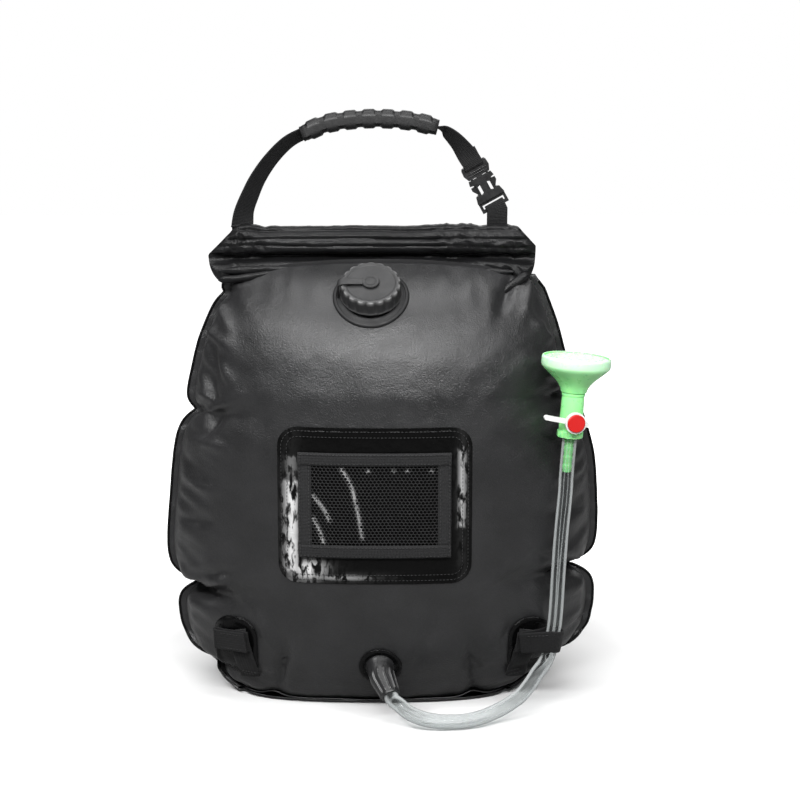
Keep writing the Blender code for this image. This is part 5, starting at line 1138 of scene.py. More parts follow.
def wrinkle(x, z, across, share, seed):
    """How far the fabric stands out of or in from its smooth form, in metres."""
    side = 1 if across > 0 else -1
    from_seam = (1 - min(1.0, abs(across))) * BAG_HALF_WIDTH
    hold = min(1.0, from_seam / SEAM_HOLD)
    slant = share * SEAM_TOP + 0.5 * from_seam
    height = 0.0
    for tall, reach, along, inward, number in PLEATS:
        pleat = ridged(slant / along, from_seam / inward, seed + side * number)
        height += tall * hold * math.exp(-from_seam / reach) * pleat
    for place, depth in LEFT_NOTCH_SHARES if side < 0 else RIGHT_NOTCH_SHARES:
        gap = (share - place) * SEAM_TOP
        fan = FAN_WIDTH + from_seam * 0.1
        ridges = FAN_RIDGE * near(abs(gap), FAN_RIDGE_PLACE + from_seam * 0.2, fan)
        strength = hold * (depth / FAN_FULL_NOTCH_SHARE) * math.exp(-from_seam / FAN_REACH)
        height += strength * (ridges - FAN_VALLEY * near(gap, 0, fan))
    for tall, level, reach, width, number in UPRIGHT_FOLDS:
        fold = ridged(x / width, z / UPRIGHT_LENGTH, seed + number)
        height += tall * math.exp(-abs(max(z, 0) - level) / reach) * fold * hold
    for tall, length, number in WAVES:
        height += tall * noise.noise(Vector((x / length, z / length, seed + number)))
    if seed == 0:
        height = (height + single_folds(x, z, hold)) * calm_front(x, z)
    return height


def build_panel(front):
    """One panel of the bag, wrinkled, with the seam round it."""
    grid, across, shares = fine_panel(front)
    rows, columns, _ = grid.shape
    points = [Vector(p) for p in grid.reshape(-1, 3)]
    faces = tube_faces(rows, columns, closed=False)
    if not front:
        faces = [tuple(reversed(face)) for face in faces]
    mesh = bpy.data.meshes.new("front_skin" if front else "back_skin")
    mesh.from_pydata([tuple(p) for p in points], [], faces)
    mesh.update()
    normals = [vertex.normal.copy() for vertex in mesh.vertices]
    for index, (point, normal) in enumerate(zip(points, normals)):
        row, column = divmod(index, columns)
        share, where = shares[row], across[column]
        above = max(share, 0.0)
        if front:
            rise = sum(near(point.x, place, LIP_NOTCH_WIDTH) for place in LIP_NOTCHES)
            wave = LIP_WAVE * noise.noise(Vector((point.x / LIP_WAVE_LENGTH, 2, 2)))
            point.z += LIP_NOTCH_RISE * rise * near(above, 0, LIP_NOTCH_TALL_SHARE)
            point.z += wave * near(above, 0, LIP_WAVE_TALL_SHARE)
            mesh.vertices[index].co = point
        if abs(where) > 1:
            side = 1 if where > 0 else -1
            wave = SEAM_WAVE * ridged(above * SEAM_TOP / SEAM_WAVE_LENGTH, side * 2, 5)
            if share < SEAM_WAVE_END_SHARE:
                mesh.vertices[index].co = point + Y_AXIS * wave * min(1, above / SEAM_WAVE_START_SHARE)
            continue
        fade = min(1.0, (1 - share) / FOLD_FADE_SHARE) * min(1.0, above / FOLD_FADE_SHARE)
        if not front and share < BACK_BASE_SHARE:
            fade = 0.0
        moved = point + normal * wrinkle(point.x, point.z, where, above, 0 if front else BACK_SEED) * fade
        moved.z = max(moved.z, FLOOR_DROP)
        mesh.vertices[index].co = moved
    stands_for = "front_panel" if front else "back_panel"
    item = mesh_object(mesh.name, mesh, "fabric", "bag", (stands_for,), smooth=70)
    thicken(item, PANEL_THICKNESS, -1.0)
    if front:
        for label, column, inward in (("left", 0, 1), ("right", columns - 1, -1)):
            kept = [row for row in range(rows) if RIM_START_SHARE < shares[row] < RIM_END_SHARE]
            edge = [mesh.vertices[row * columns + column].co for row in kept]
            line = [point + Vector((inward * RIM_RADIUS, PANEL_THICKNESS, 0)) for point in edge]
            sweep_tube("seam_rim_" + label, line, RIM_RADIUS, "patch", "bag", sides=12)
    return mesh


class Front:
    """Answers where the front panel's face is."""

    def __init__(self, mesh):
        work = bmesh.new()
        work.from_mesh(mesh)
        self.tree = BVHTree.FromBMesh(work)
        work.free()

    def at(self, x, z, lift=0.0):
        point, normal, _, _ = self.tree.ray_cast(Vector((x, -1, z)), Y_AXIS)
        if normal.y > 0:
            normal = -normal
        return point + normal * lift, normal


def rounded_outline(width, tall, corner, steps=7, per_side=14):
    """Points round a rectangle with round corners, about its middle."""
    outline = []
    for quarter in range(4):
        sign_x = 1 if quarter in (0, 3) else -1
        sign_z = 1 if quarter in (0, 1) else -1
        cx, cz = sign_x * (width / 2 - corner), sign_z * (tall / 2 - corner)
        for step in range(steps + 1):
            angle = (quarter + step / steps) * math.pi / 2
            outline.append((cx + corner * math.cos(angle), cz + corner * math.sin(angle)))
        next_x = -cx if quarter in (0, 2) else cx
        next_z = -cz if quarter in (1, 3) else cz
        angle = (quarter + 1) * math.pi / 2
        start = outline[-1]
        end = (next_x + corner * math.cos(angle), next_z + corner * math.sin(angle))
        for step in range(1, per_side):
            share = step / per_side
            outline.append((start[0] + (end[0] - start[0]) * share, start[1] + (end[1] - start[1]) * share))
    return outline


# Sheets laid on the front panel
DRAPE_POWER = 1.3
TAPE_ROW = 0.003
TAPE_COLUMN = 0.0022
TAPE_CROWN = 0.0008
TAPE_RELIEF_LENGTH = 0.009
OUTLINE_SPACING = 0.0016


def draped_patch(
    name, front, outline, x, z, lift, thickness, look, replaced, rings=20, shape=None, wear_and_highlight=None, slot=None,
):
    """A sheet on the front panel inside an outline, with its own small relief."""
    count = len(outline)
    shares = [1 - (1 - k / rings) ** DRAPE_POWER for k in range(1, rings + 1)]
    points = [front.at(x, z, lift)[0]]
    marks = [wear_and_highlight(0, 0) if wear_and_highlight else 0]
    for share in shares:
        for ox, oz in outline:
            place, normal = front.at(x + ox * share, z + oz * share, lift)
            points.append(place + normal * (shape(ox * share, oz * share, share) if shape else 0))
            marks.append(wear_and_highlight(ox * share, oz * share) if wear_and_highlight else 0)
    faces = [(0, 1 + k, 1 + (k + 1) % count) for k in range(count)]
    faces += tube_faces(rings, count, 1, closed=True, caps=False)
    item = mesh_piece(name, points, faces, look, "bag", replaced, smooth=60, wear_and_highlight=marks, slot=slot)
    turn_outward(item.data)
    return thicken(item, thickness)


def turn_outward(mesh):
    """Makes a draped sheet's faces look away from the bag."""
    if sum(polygon.normal.y * polygon.area for polygon in mesh.polygons) > 0:
        mesh.flip_normals()


def draped_tape(name, front, start, end, width, lift, thickness, look, replaced, relief):
    """A straight tape on the front panel between two places seen from the front."""
    start, end = np.array(start), np.array(end)
    length = float(np.linalg.norm(end - start))
    way = (end - start) / length
    side = np.array((way[1], -way[0]))
    rows = max(3, round(length / TAPE_ROW))
    columns = max(4, round(width / TAPE_COLUMN))
    points, uvs = [], []
    for row in range(rows + 1):
        for column in range(columns + 1):
            u = (column / columns - 0.5) * width
            place = start + way * length * row / rows + side * u
            edge = 1 - abs(column / columns - 0.5) * 2
            point, normal = front.at(place[0], place[1], lift)
            spot = (place[0] / TAPE_RELIEF_LENGTH, place[1] / TAPE_RELIEF_LENGTH, 3)
            bump = relief * noise.noise(Vector(spot))
            points.append(point + normal * (bump + min(edge, 0.3) * TAPE_CROWN))
            uvs.append((u, length * row / rows))
    faces = tube_faces(rows + 1, columns + 1, closed=False)
    item = mesh_piece(name, points, faces, look, "bag", replaced, uvs, smooth=60)
    turn_outward(item.data)
    return thicken(item, thickness)


def outline_line(front, outline, x, z, lift):
    """A closed line of (point, normal) over the front panel."""
    dense, _ = smooth_line([(px, 0, pz) for px, pz in (*outline, outline[0])], OUTLINE_SPACING)
    return [front.at(x + px, z + pz, lift) for px, _, pz in dense]


# Window
FILM_LIFT = 0.0004
FILM_THICKNESS = 0.0006
FILM_WAVE = 0.0007
FILM_WAVE_LENGTHS = (0.014, 0.02)
FILM_RIM_HEIGHT = 0.0006
FILM_RIM_PLACE = 0.0045
FILM_RIM_WIDTH = 0.0012
FILM_STITCH_INSETS = (("outer", 0.0035), ("inner", 0.0085))
FILM_STITCH_LIFT = 0.0015
GLARE_SPACING = 0.001
GLARE_WIDTH = 0.0016
GLARE_SPOT = 0.0015
# scuffs along the film's edges: (inset, spread), and the heights between which they are strong
LEFT_SCUFF = (0.0125, 0.0085)
LEFT_SCUFF_HEIGHTS = (-0.06, 0.022, 0.045)
RIGHT_SCUFF = (0.009, 0.0045)
RIGHT_SCUFF_HEIGHTS = (-0.02, 0.052)
# (place or inset, spread) across, then up from the lower edge
CORNER_SCUFF = ((0.026, 0.02), (0.013, 0.012))
LOW_SCUFF = ((-0.03, 0.035), (0.006, 0.004))
NET_LIFT = 0.0022
NET_RAISE = 0.0006
NET_SAG = 0.0012
NET_SAG_LENGTHS = (0.03, 0.022)
NET_MERGE = 0.00025
NET_REACH = 0.002
NET_SQUASH_SHARE = 0.92
BINDING_LIFTS = {"top": 0.0032, "bottom": 0.0032, "left": 0.0026, "right": 0.0026}
BINDING_THICKNESS = 0.0009
BINDING_RELIEF = 0.0005
BINDING_STITCH_INSETS = (("outer", 0.0016), ("inner", BINDING_WIDTH - 0.0018))
BINDING_STITCH_CORNER = 0.0015
BINDING_STITCH_LIFT = 0.0049


def window_scuff(x, z):
    """How scuffed the film is at a place from the window's middle."""
    from_left, from_right, from_low = x + WINDOW_WIDTH / 2, WINDOW_WIDTH / 2 - x, z + WINDOW_TALL / 2
    low, high, end = LEFT_SCUFF_HEIGHTS
    left = near(from_left, *LEFT_SCUFF) * (1.0 if low < z < high else 0.45 if z < end else 0.1)
    low, high = RIGHT_SCUFF_HEIGHTS
    right = near(from_right, *RIGHT_SCUFF) * (0.75 if low < z < high else 0.2)
    corner = near(from_left, *CORNER_SCUFF[0]) * near(from_low, *CORNER_SCUFF[1])
    bottom = near(x, *LOW_SCUFF[0]) * near(from_low, *LOW_SCUFF[1]) * 0.6
    return max(left, corner, right, bottom)


def window_glare(x, z, streaks):
    """How bright the glare is at a place from the window's middle."""
    best = 0.0
    for line in streaks:
        gap = float(np.min(np.hypot(line[:, 0] - x, line[:, 2] - z)))
        best = max(best, near(gap, 0, GLARE_WIDTH))
    for spot_x, spot_z in GLARE_SPOTS:
        best = max(best, near(math.hypot(spot_x - x, spot_z - z), 0, GLARE_SPOT))
    return best


def window_relief(x, z, share):
    """How far the film stands out at a place from its middle."""
    across, down = FILM_WAVE_LENGTHS
    wave = FILM_WAVE * noise.noise(Vector((x / across, z / down, 1))) * window_scuff(x, z)
    from_edge = min(WINDOW_WIDTH / 2 - abs(x), WINDOW_TALL / 2 - abs(z))
    return wave + FILM_RIM_HEIGHT * near(from_edge, FILM_RIM_PLACE, FILM_RIM_WIDTH)


def build_net(front, middle, streaks):
    """The net: strands along the edges of six-sided cells."""
    open_x, open_z = POCKET_WIDTH / 2 - BINDING_WIDTH, POCKET_TALL / 2 - BINDING_WIDTH
    work = bmesh.new()
    cells = {}
    side = NET_PITCH / math.sqrt(3)
    row_pitch = side * 1.5 * NET_SQUASH_SHARE
    sag_across, sag_down = NET_SAG_LENGTHS
    columns = math.ceil((open_x + 1.5 * NET_REACH) / NET_PITCH)
    rows = math.ceil((open_z + 1.5 * NET_REACH) / row_pitch)
    for row in range(-rows, rows + 1):
        for column in range(-columns, columns + 1):
            cx = NET_PITCH * (column + (row % 2) / 2)
            cz = row_pitch * row
            if abs(cx) > open_x + NET_REACH or abs(cz) > open_z + NET_REACH:
                continue
            ring = []
            for angle in round_angles(6):
                px = cx + side * math.cos(angle + math.pi / 6)
                pz = cz + side * math.sin(angle + math.pi / 6) * NET_SQUASH_SHARE
                key = (round(px / NET_MERGE), round(pz / NET_MERGE))
                if key not in cells:
                    place, _ = front.at(WINDOW_X + px, middle + pz, NET_LIFT)
                    sag = NET_SAG * noise.noise(Vector((px / sag_across, pz / sag_down, 9)))
                    cells[key] = work.verts.new(place - Y_AXIS * (NET_RAISE + sag))
                ring.append(cells[key])
            if len(set(ring)) == 6:
                work.faces.new(ring)
    mesh = bpy.data.meshes.new("net_pocket")
    work.to_mesh(mesh)
    work.free()
    # the strands are painted paler near the film's glare: a painted highlight
    add_wear_and_highlight(mesh, [
        0.35 * window_glare(v.co.x - WINDOW_X, v.co.z - WINDOW_HEIGHT, streaks) for v in mesh.vertices
    ])
    net = mesh_object("net_pocket", mesh, "net", "bag", ("pocket_net",), smooth=30)
    wire = net.modifiers.new("strands", "WIREFRAME")
    wire.thickness = NET_STRAND
    wire.use_even_offset = False


def build_window(front):
    """The clear window, the net pocket with its binding, and their stitching."""
    streaks = [smooth_line([(x, 0.0, z) for x, z in line], GLARE_SPACING)[0] for line in GLARE_LINES]

    # the film's pale marks: scuffs, and glare painted into its colour as painted highlights
    def pale(x, z):
        return max(window_scuff(x, z), window_glare(x, z, streaks))

    outline = rounded_outline(WINDOW_WIDTH, WINDOW_TALL, WINDOW_CORNER, 8, 32)
    draped_patch(
        "window_film", front, outline, WINDOW_X, WINDOW_HEIGHT, FILM_LIFT, FILM_THICKNESS, "film",
        ("clear_window",), 60, window_relief, pale,
    )
    for label, inset in FILM_STITCH_INSETS:
        row = rounded_outline(WINDOW_WIDTH - 2 * inset, WINDOW_TALL - 2 * inset, WINDOW_CORNER - inset)
        line = outline_line(front, row, WINDOW_X, WINDOW_HEIGHT, FILM_STITCH_LIFT)
        stitches("window_stitches_" + label, line, "bag")

    middle = WINDOW_HEIGHT + POCKET_RAISE
    build_net(front, middle, streaks)
    w, t, b = POCKET_WIDTH / 2, POCKET_TALL / 2, BINDING_WIDTH
    tapes = {
        "top": ((-w, t - b / 2), (w, t - b / 2)),
        "bottom": ((-w, b / 2 - t), (w, b / 2 - t)),
        "left": ((b / 2 - w, b * 0.9 - t), (b / 2 - w, t - b * 0.9)),
        "right": ((w - b / 2, b * 0.9 - t), (w - b / 2, t - b * 0.9)),
    }
    for label, ends in tapes.items():
        places = [(WINDOW_X + px, middle + pz) for px, pz in ends]
        draped_tape(
            "binding_" + label, front, *places, b, BINDING_LIFTS[label], BINDING_THICKNESS, "binding",
            ("pocket_binding_" + label,), BINDING_RELIEF,
        )
    for label, inset in BINDING_STITCH_INSETS:
        row = rounded_outline(POCKET_WIDTH - 2 * inset, POCKET_TALL - 2 * inset, BINDING_STITCH_CORNER)
        line = outline_line(front, row, WINDOW_X, middle, BINDING_STITCH_LIFT)
        stitches("pocket_stitches_" + label, line, "bag")


def sweep_tube(name, line, radius, look, body, replaced=(), sides=12, taper=None, wear_and_highlight=None, slot=None):
    """A round tube along a line of points."""
    points, marks = [], []
    for index, (point, way) in enumerate(zip(line, tangents(line))):
        x = (Y_AXIS - way * Y_AXIS.dot(way)).normalized()
        y = way.cross(x)
        for angle in round_angles(sides):
            reach = radius * (taper(index, angle) if taper else 1)
            points.append(point + (x * math.cos(angle) + y * math.sin(angle)) * reach)
            marks.append(wear_and_highlight(index, angle) if wear_and_highlight else 0)
    faces = tube_faces(len(line), sides)
    return mesh_piece(name, points, faces, look, body, replaced, smooth=50, wear_and_highlight=marks, slot=slot)


# Filler: (radius, height) profiles and lifts in the neck's own frame
FLANGE_LIFTS = (
    (0.0212, 0.001), (0.0214, 0.003), (0.0222, 0.0022), (0.0262, 0.002), (0.0292, 0.0019), (0.03, 0.0012),
    (0.0306, 0.0012), (0.0312, 0.0021), (0.033, 0.0021), (0.034, 0.0014), (0.0342, 0.0003),
)
FLANGE_DROP_HEIGHT = 0.03
NECK_PROFILE = (
    (0.0204, 0.0135), (0.021, 0.0129), (0.021, -0.004), (0.0175, -0.004), (0.0175, 0.013),
    (0.0181, 0.0135),
)
THREAD_START = 0.0048
THREAD_STEPS = 32
THREAD_TURNS = 1.5
THREAD_RADIUS = 0.0012
CAP_PROFILE = (
    (0.0, 0.0173), (0.012, 0.0173), (0.0215, 0.0173), (0.0222, 0.0178), (0.0234, 0.0179),
    (0.0252, 0.0177), (0.0261, 0.017), (0.0264, 0.0159), (0.0266, 0.0137), (0.027, 0.0102),
    (0.027, 0.0061), (0.0274, 0.0051), (0.0274, 0.0039), (0.0268, 0.0033), (0.0232, 0.0033),
    (0.0232, 0.0155), (0.0, 0.0155),
)
SCALLOP_DEPTH = 0.0017
# row of the cap's profile: how deep its scallops are, or how pale it is painted for rubbed edges and painted
# highlights
CAP_SCALLOP_SHARES = {4: 0.3, 5: 0.7, 6: 1.0, 7: 1.0, 8: 0.95, 9: 0.8, 10: 0.3}
CAP_WEAR_AND_HIGHLIGHT_SHARES = {5: 0.35, 6: 0.8, 7: 0.5, 11: 0.3, 12: 0.25}
EYELET_PROFILE = (
    (0.0072, 0.0198), (0.0078, 0.0192), (0.0078, 0.018), (0.004, 0.018), (0.004, 0.0192),
    (0.0046, 0.0198),
)
BUTTON_PROFILE = (
    (0.0, 0.021), (0.0022, 0.0209), (0.0042, 0.0205), (0.0052, 0.0201), (0.0052, 0.0199),
    (0.0036, 0.0199), (0.0036, 0.018), (0.0, 0.018),
)
# (distance along the tether's plane, height) from the eyelet over the cap's rim to the flange
TETHER_LINE = (
    (-0.0072, 0.0189), (-0.013, 0.0191), (-0.02, 0.0192), (-0.0255, 0.0188), (-0.0281, 0.0173),
    (-0.029, 0.0139), (-0.0294, 0.0094), (-0.0293, 0.0024),
)
TETHER_THICKNESS = 0.0016
TETHER_SPACING = 0.0012


def build_flange(front, matrix):
    """The filler's weld flange, laid on the bag along the neck's direction."""
    points = []
    for radius, lift in FLANGE_LIFTS:
        for angle in round_angles(96):
            over = matrix @ Vector((radius * math.cos(angle), radius * math.sin(angle), FLANGE_DROP_HEIGHT))
            hit, _, _, _ = front.tree.ray_cast(over, -NECK_DIRECTION)
            points.append((hit if hit else over) + NECK_DIRECTION * lift)
    faces = tube_faces(len(FLANGE_LIFTS), 96, caps=False)
    flange = mesh_piece("filler_flange", points, faces, "flange", "bag", smooth=50)
    if sum(p.normal.dot(NECK_DIRECTION) for p in flange.data.polygons) < 0:
        flange.data.flip_normals()


def build_filler(front):
    """Weld flange, threaded neck, scalloped cap, eyelet, button and tether."""
    matrix = frame_at(NECK_PLACE, NECK_DIRECTION, X_AXIS)
    build_flange(front, matrix)
    lathe("filler_spout", NECK_PROFILE, 64, matrix, "black", "bag", ("filler_neck",))
    thread = []
    for step in range(int(THREAD_TURNS * THREAD_STEPS) + 1):
        angle = 2 * math.pi * step / THREAD_STEPS
        height = THREAD_START + THREAD_PITCH * step / THREAD_STEPS
        thread.append(matrix @ Vector((NECK_RADIUS * math.cos(angle), NECK_RADIUS * math.sin(angle), height)))
    sweep_tube("spout_thread", thread, THREAD_RADIUS, "black", "bag", sides=8, slot=OWN_SLOT)

    def scallop(row, angle):
        wave = 0.5 - 0.5 * math.cos(CAP_LOBES * angle)
        return -SCALLOP_DEPTH * CAP_SCALLOP_SHARES.get(row, 0) * (1 - wave) ** 3

    # rims painted paler, most on the lobes: rubbed edges and painted highlights
    def cap_wear_and_highlight(row, angle):
        wave = 0.5 - 0.5 * math.cos(CAP_LOBES * angle)
        return CAP_WEAR_AND_HIGHLIGHT_SHARES.get(row, 0) * (0.55 + 0.45 * wave)

    lathe("screw_cap", CAP_PROFILE, 216, matrix, "cap", "cap", ("filler_cap",), scallop, cap_wear_and_highlight)
    lathe("eyelet_ring", EYELET_PROFILE, 48, matrix, "cap", "cap_carrier", ("tether_eyelet",))
    lathe("cap_button", BUTTON_PROFILE, 40, matrix, "cap", "cap", ("cap_rivet",))

    read, _ = smooth_line([(along, 0.0, height) for along, height in TETHER_LINE], TETHER_SPACING)
    places = [matrix @ Vector(tuple(p)) for p in read]
    sides = [matrix.to_3x3() @ Y_AXIS] * len(places)
    tether = webbing(
        "cap_tether", places, sides, None, ("tether_strap",), TETHER_WIDTH, TETHER_THICKNESS, look="cap"
    )
    tuple(places[-1])
    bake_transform(tether)


# Rolled top
# (share of the half depth, share of the half height) round the roll, seen from its end
ROLL_SECTION_SHARES = (
    (0.0, 1.0), (-0.38, 0.96), (-0.72, 0.8), (-0.93, 0.55), (-1.0, 0.28), (-0.96, 0.02), (-0.78, -0.13),
    (-0.36, -0.22), (-0.1, -0.34), (-0.34, -0.46), (-0.72, -0.52), (-0.9, -0.66), (-0.84, -0.86),
    (-0.5, -0.98), (0.0, -1.0), (0.6, -0.88), (0.9, -0.52), (0.96, 0.0), (0.86, 0.52), (0.52, 0.88),
)
ROLL_SECTION_STEP_SHARE = 0.05
ROLL_ROWS = 190
ROLL_END_SHARE = 0.045
ROLL_CREASE_SHARES = (0.8, 0.46, 0.14)
ROLL_CREASE = 0.0012
ROLL_CREASE_CHANGE = 0.0006
ROLL_CREASE_WANDER_LENGTH = 0.08
ROLL_CREASE_CHANGE_LENGTH = 0.05
ROLL_CREASE_WANDER_SHARE = 0.09
ROLL_CREASE_WIDTH_SHARE = 0.045
# (place above a crease, width) of the ridge beside it
ROLL_RIDGE_SHARES = (0.1, 0.06)
# (place along the roll, spread, strength)
CRUMPLES = ((-0.128, 0.024, 1.0), (0.07, 0.032, 0.8), (0.122, 0.018, 0.8), (-0.04, 0.04, 0.18))
# (height, length along the roll, turns round it, offset, seed)
CRUMPLE_LAYERS = ((0.002, 0.015, 1.8, 0, 50), (0.0009, 0.007, 3.2, 3, 70))
CRUMPLE_SLANT = 0.012
ROLL_WAVE = 0.0007
ROLL_WAVE_LENGTH = 0.045
# (place along the roll, spread, drop) of the fold that hangs at each end
END_FOLDS = ((-0.166, 0.03, 0.015), (0.146, 0.026, 0.013))
END_FOLD_FORWARD = 0.004
END_TUCKS = (0.01, 0.007)
ROLL_RIGHT_RISE = 0.0016
ROLL_SUNK = 0.0009
# (x, y, z, radius) along the loose folds of fabric round the roll
LOOSE_FOLDS = {
    "roll_lower_fold": (
        (-0.15, -0.0115, 0.3965, 0.004), (-0.11, -0.0125, 0.3975, 0.0034),
        (-0.06, -0.0125, 0.3975, 0.003), (0.0, -0.013, 0.397, 0.003),
        (0.06, -0.013, 0.396, 0.003), (0.12, -0.012, 0.3955, 0.0038),
    ),
    "roll_left_fold": (
        (-0.15, -0.0135, 0.388, 0.0034), (-0.13, -0.015, 0.39, 0.0036),
        (-0.108, -0.0145, 0.393, 0.003), (-0.086, -0.0125, 0.396, 0.0012),
    ),
    "roll_right_fold": (
        (0.133, -0.012, 0.394, 0.0036), (0.124, -0.016, 0.388, 0.0042),
        (0.112, -0.02, 0.38, 0.0034), (0.1, -0.026, 0.373, 0.0012),
    ),
}
LOOSE_FOLD_SPACING = 0.0016
LOOSE_FOLD_SIDES = 24
LOOSE_FOLD_DENT_LENGTH = 0.014


def roll_relief(x, a, b):
    """Long creases along the roll, and folds across it where it is crumpled."""
    relief = 0.0
    for number, crease in enumerate(ROLL_CREASE_SHARES):
        wander = noise.noise(Vector((x / ROLL_CREASE_WANDER_LENGTH, number * 3.1, 2)))
        place = crease + ROLL_CREASE_WANDER_SHARE * wander
        change = noise.noise(Vector((x / ROLL_CREASE_CHANGE_LENGTH, number * 2.3, 5)))
        depth = max(0.0, ROLL_CREASE + ROLL_CREASE_CHANGE * change)
        ridge = 0.5 * near(b - place, *ROLL_RIDGE_SHARES)
        relief += depth * (ridge - near(b, place, ROLL_CREASE_WIDTH_SHARE))
    for middle, spread, strength in CRUMPLES:
        here = near(x, middle, spread) * strength
        if here > 0.02:
            slant = x + b * CRUMPLE_SLANT
            for height, length, turns, offset, seed in CRUMPLE_LAYERS:
                relief += height * here * ridged(slant / length, b * turns + offset, middle * seed)
    relief += ROLL_WAVE * noise.noise(Vector((x / ROLL_WAVE_LENGTH, b * 0.8, 9)))
    return relief * (1 if a < 0.1 else 0.4)


def loose_fold(name, table):
    """A soft closed fold of fabric along a line of (x, y, z, radius)."""
    read, _ = smooth_line(table, LOOSE_FOLD_SPACING)
    line = [Vector(row[:3]) for row in read]
    points = []
    for index, (row, way) in enumerate(zip(read, tangents(line))):
        share = index / (len(read) - 1)
        closing = math.sqrt(max(0.03, min(1.0, min(share, 1 - share) * 14)))
        side = (Y_AXIS - way * Y_AXIS.dot(way)).normalized()
        other = way.cross(side)
        at_x, at_z = row[0] / LOOSE_FOLD_DENT_LENGTH, row[2] / LOOSE_FOLD_DENT_LENGTH
        for angle in round_angles(LOOSE_FOLD_SIDES):
            around = side * math.cos(angle) * 0.75 + other * math.sin(angle)
            dent = 1 + 0.22 * noise.noise(Vector((at_x, at_z, math.sin(angle) * 1.2)))
            points.append(line[index] + around * float(row[3]) * closing * dent)
    mesh_piece(name, points, tube_faces(len(read), LOOSE_FOLD_SIDES), "roll", "bag", smooth=65)


def build_roll():
    """The rolled and crumpled top, with its loose folds."""
    closed = (*ROLL_SECTION_SHARES, ROLL_SECTION_SHARES[0])
    section, _ = smooth_line([(a, 0.0, b) for a, b in closed], ROLL_SECTION_STEP_SHARE)
    section = section[:-1]
    left_tuck, right_tuck = END_TUCKS
    points = []
    for row in range(ROLL_ROWS + 1):
        share = 0.5 - 0.5 * math.cos(math.pi * row / ROLL_ROWS)
        ends = min(1.0, min(share, 1 - share) / ROLL_END_SHARE)
        round_end = math.sqrt(max(0.0, 1 - (1 - ends) ** 2))
        for a, _, b in section:
            under = max(0.0, -b - 0.25) / 0.75
            left = ROLL_LEFT_TOP + (ROLL_LEFT - ROLL_LEFT_TOP) * min(1.0, (1 - b) / 1.3)
            right = ROLL_RIGHT_TOP + (ROLL_RIGHT - ROLL_RIGHT_TOP) * min(1.0, (1 - b) * 1.2)
            left -= left_tuck * under**2
            right -= right_tuck * under**2
            x = -left + (left + right) * share
            y = a * ROLL_HALF_DEPTH * (0.25 + 0.75 * round_end)
            z = ROLL_HEIGHT + b * ROLL_HALF_HEIGHT * (0.8 + 0.2 * round_end)
            for place, spread, drop in END_FOLDS:
                z -= drop * under * near(x, place, spread)
                y -= END_FOLD_FORWARD * under * near(x, place, spread)
            z += ROLL_RIGHT_RISE * share * max(0.0, b)
            out = Vector((0, a, b * 0.55)).normalized()
            points.append(Vector((x, y, z)) + out * (roll_relief(x, a, b) - ROLL_SUNK) * round_end)
    faces = tube_faces(ROLL_ROWS + 1, len(section))
    mesh_piece("rolled_top", points, faces, "roll", "bag", ("top_roll", "roll_stiffener"), smooth=65)
    for name, table in LOOSE_FOLDS.items():
        loose_fold(name, table)


# Corners
# (place, width) of the raised ring near the rim of a welded piece
WELD_RIM_SHARES = (0.9, 0.07)
PATCH_MARGIN = (0.004, 0.012)
PATCH_LIFT = 0.0004
PATCH_THICKNESS = 0.0009
PATCH_RIM_HEIGHT = 0.0013
PATCH_WAVE = 0.0008
PATCH_WAVE_LENGTH = 0.009
LEG_LIFT = 0.0018
LEG_RELIEF = 0.0003
LEG_STITCH_RISES = (0.004, 0.0075)
LEG_STITCH_LIFT = 0.0042
KEEPER_LIFT = 0.0058
KEEPER_FOLD_RADIUS = 0.0016
KEEPER_LANDING_OUT = 0.003
KEEPER_SLIT = 0.0003
KEEPER_STEPS = 8
KEEPER_SEWN_STEPS = 3
KEEPER_FREE_STEPS = 4


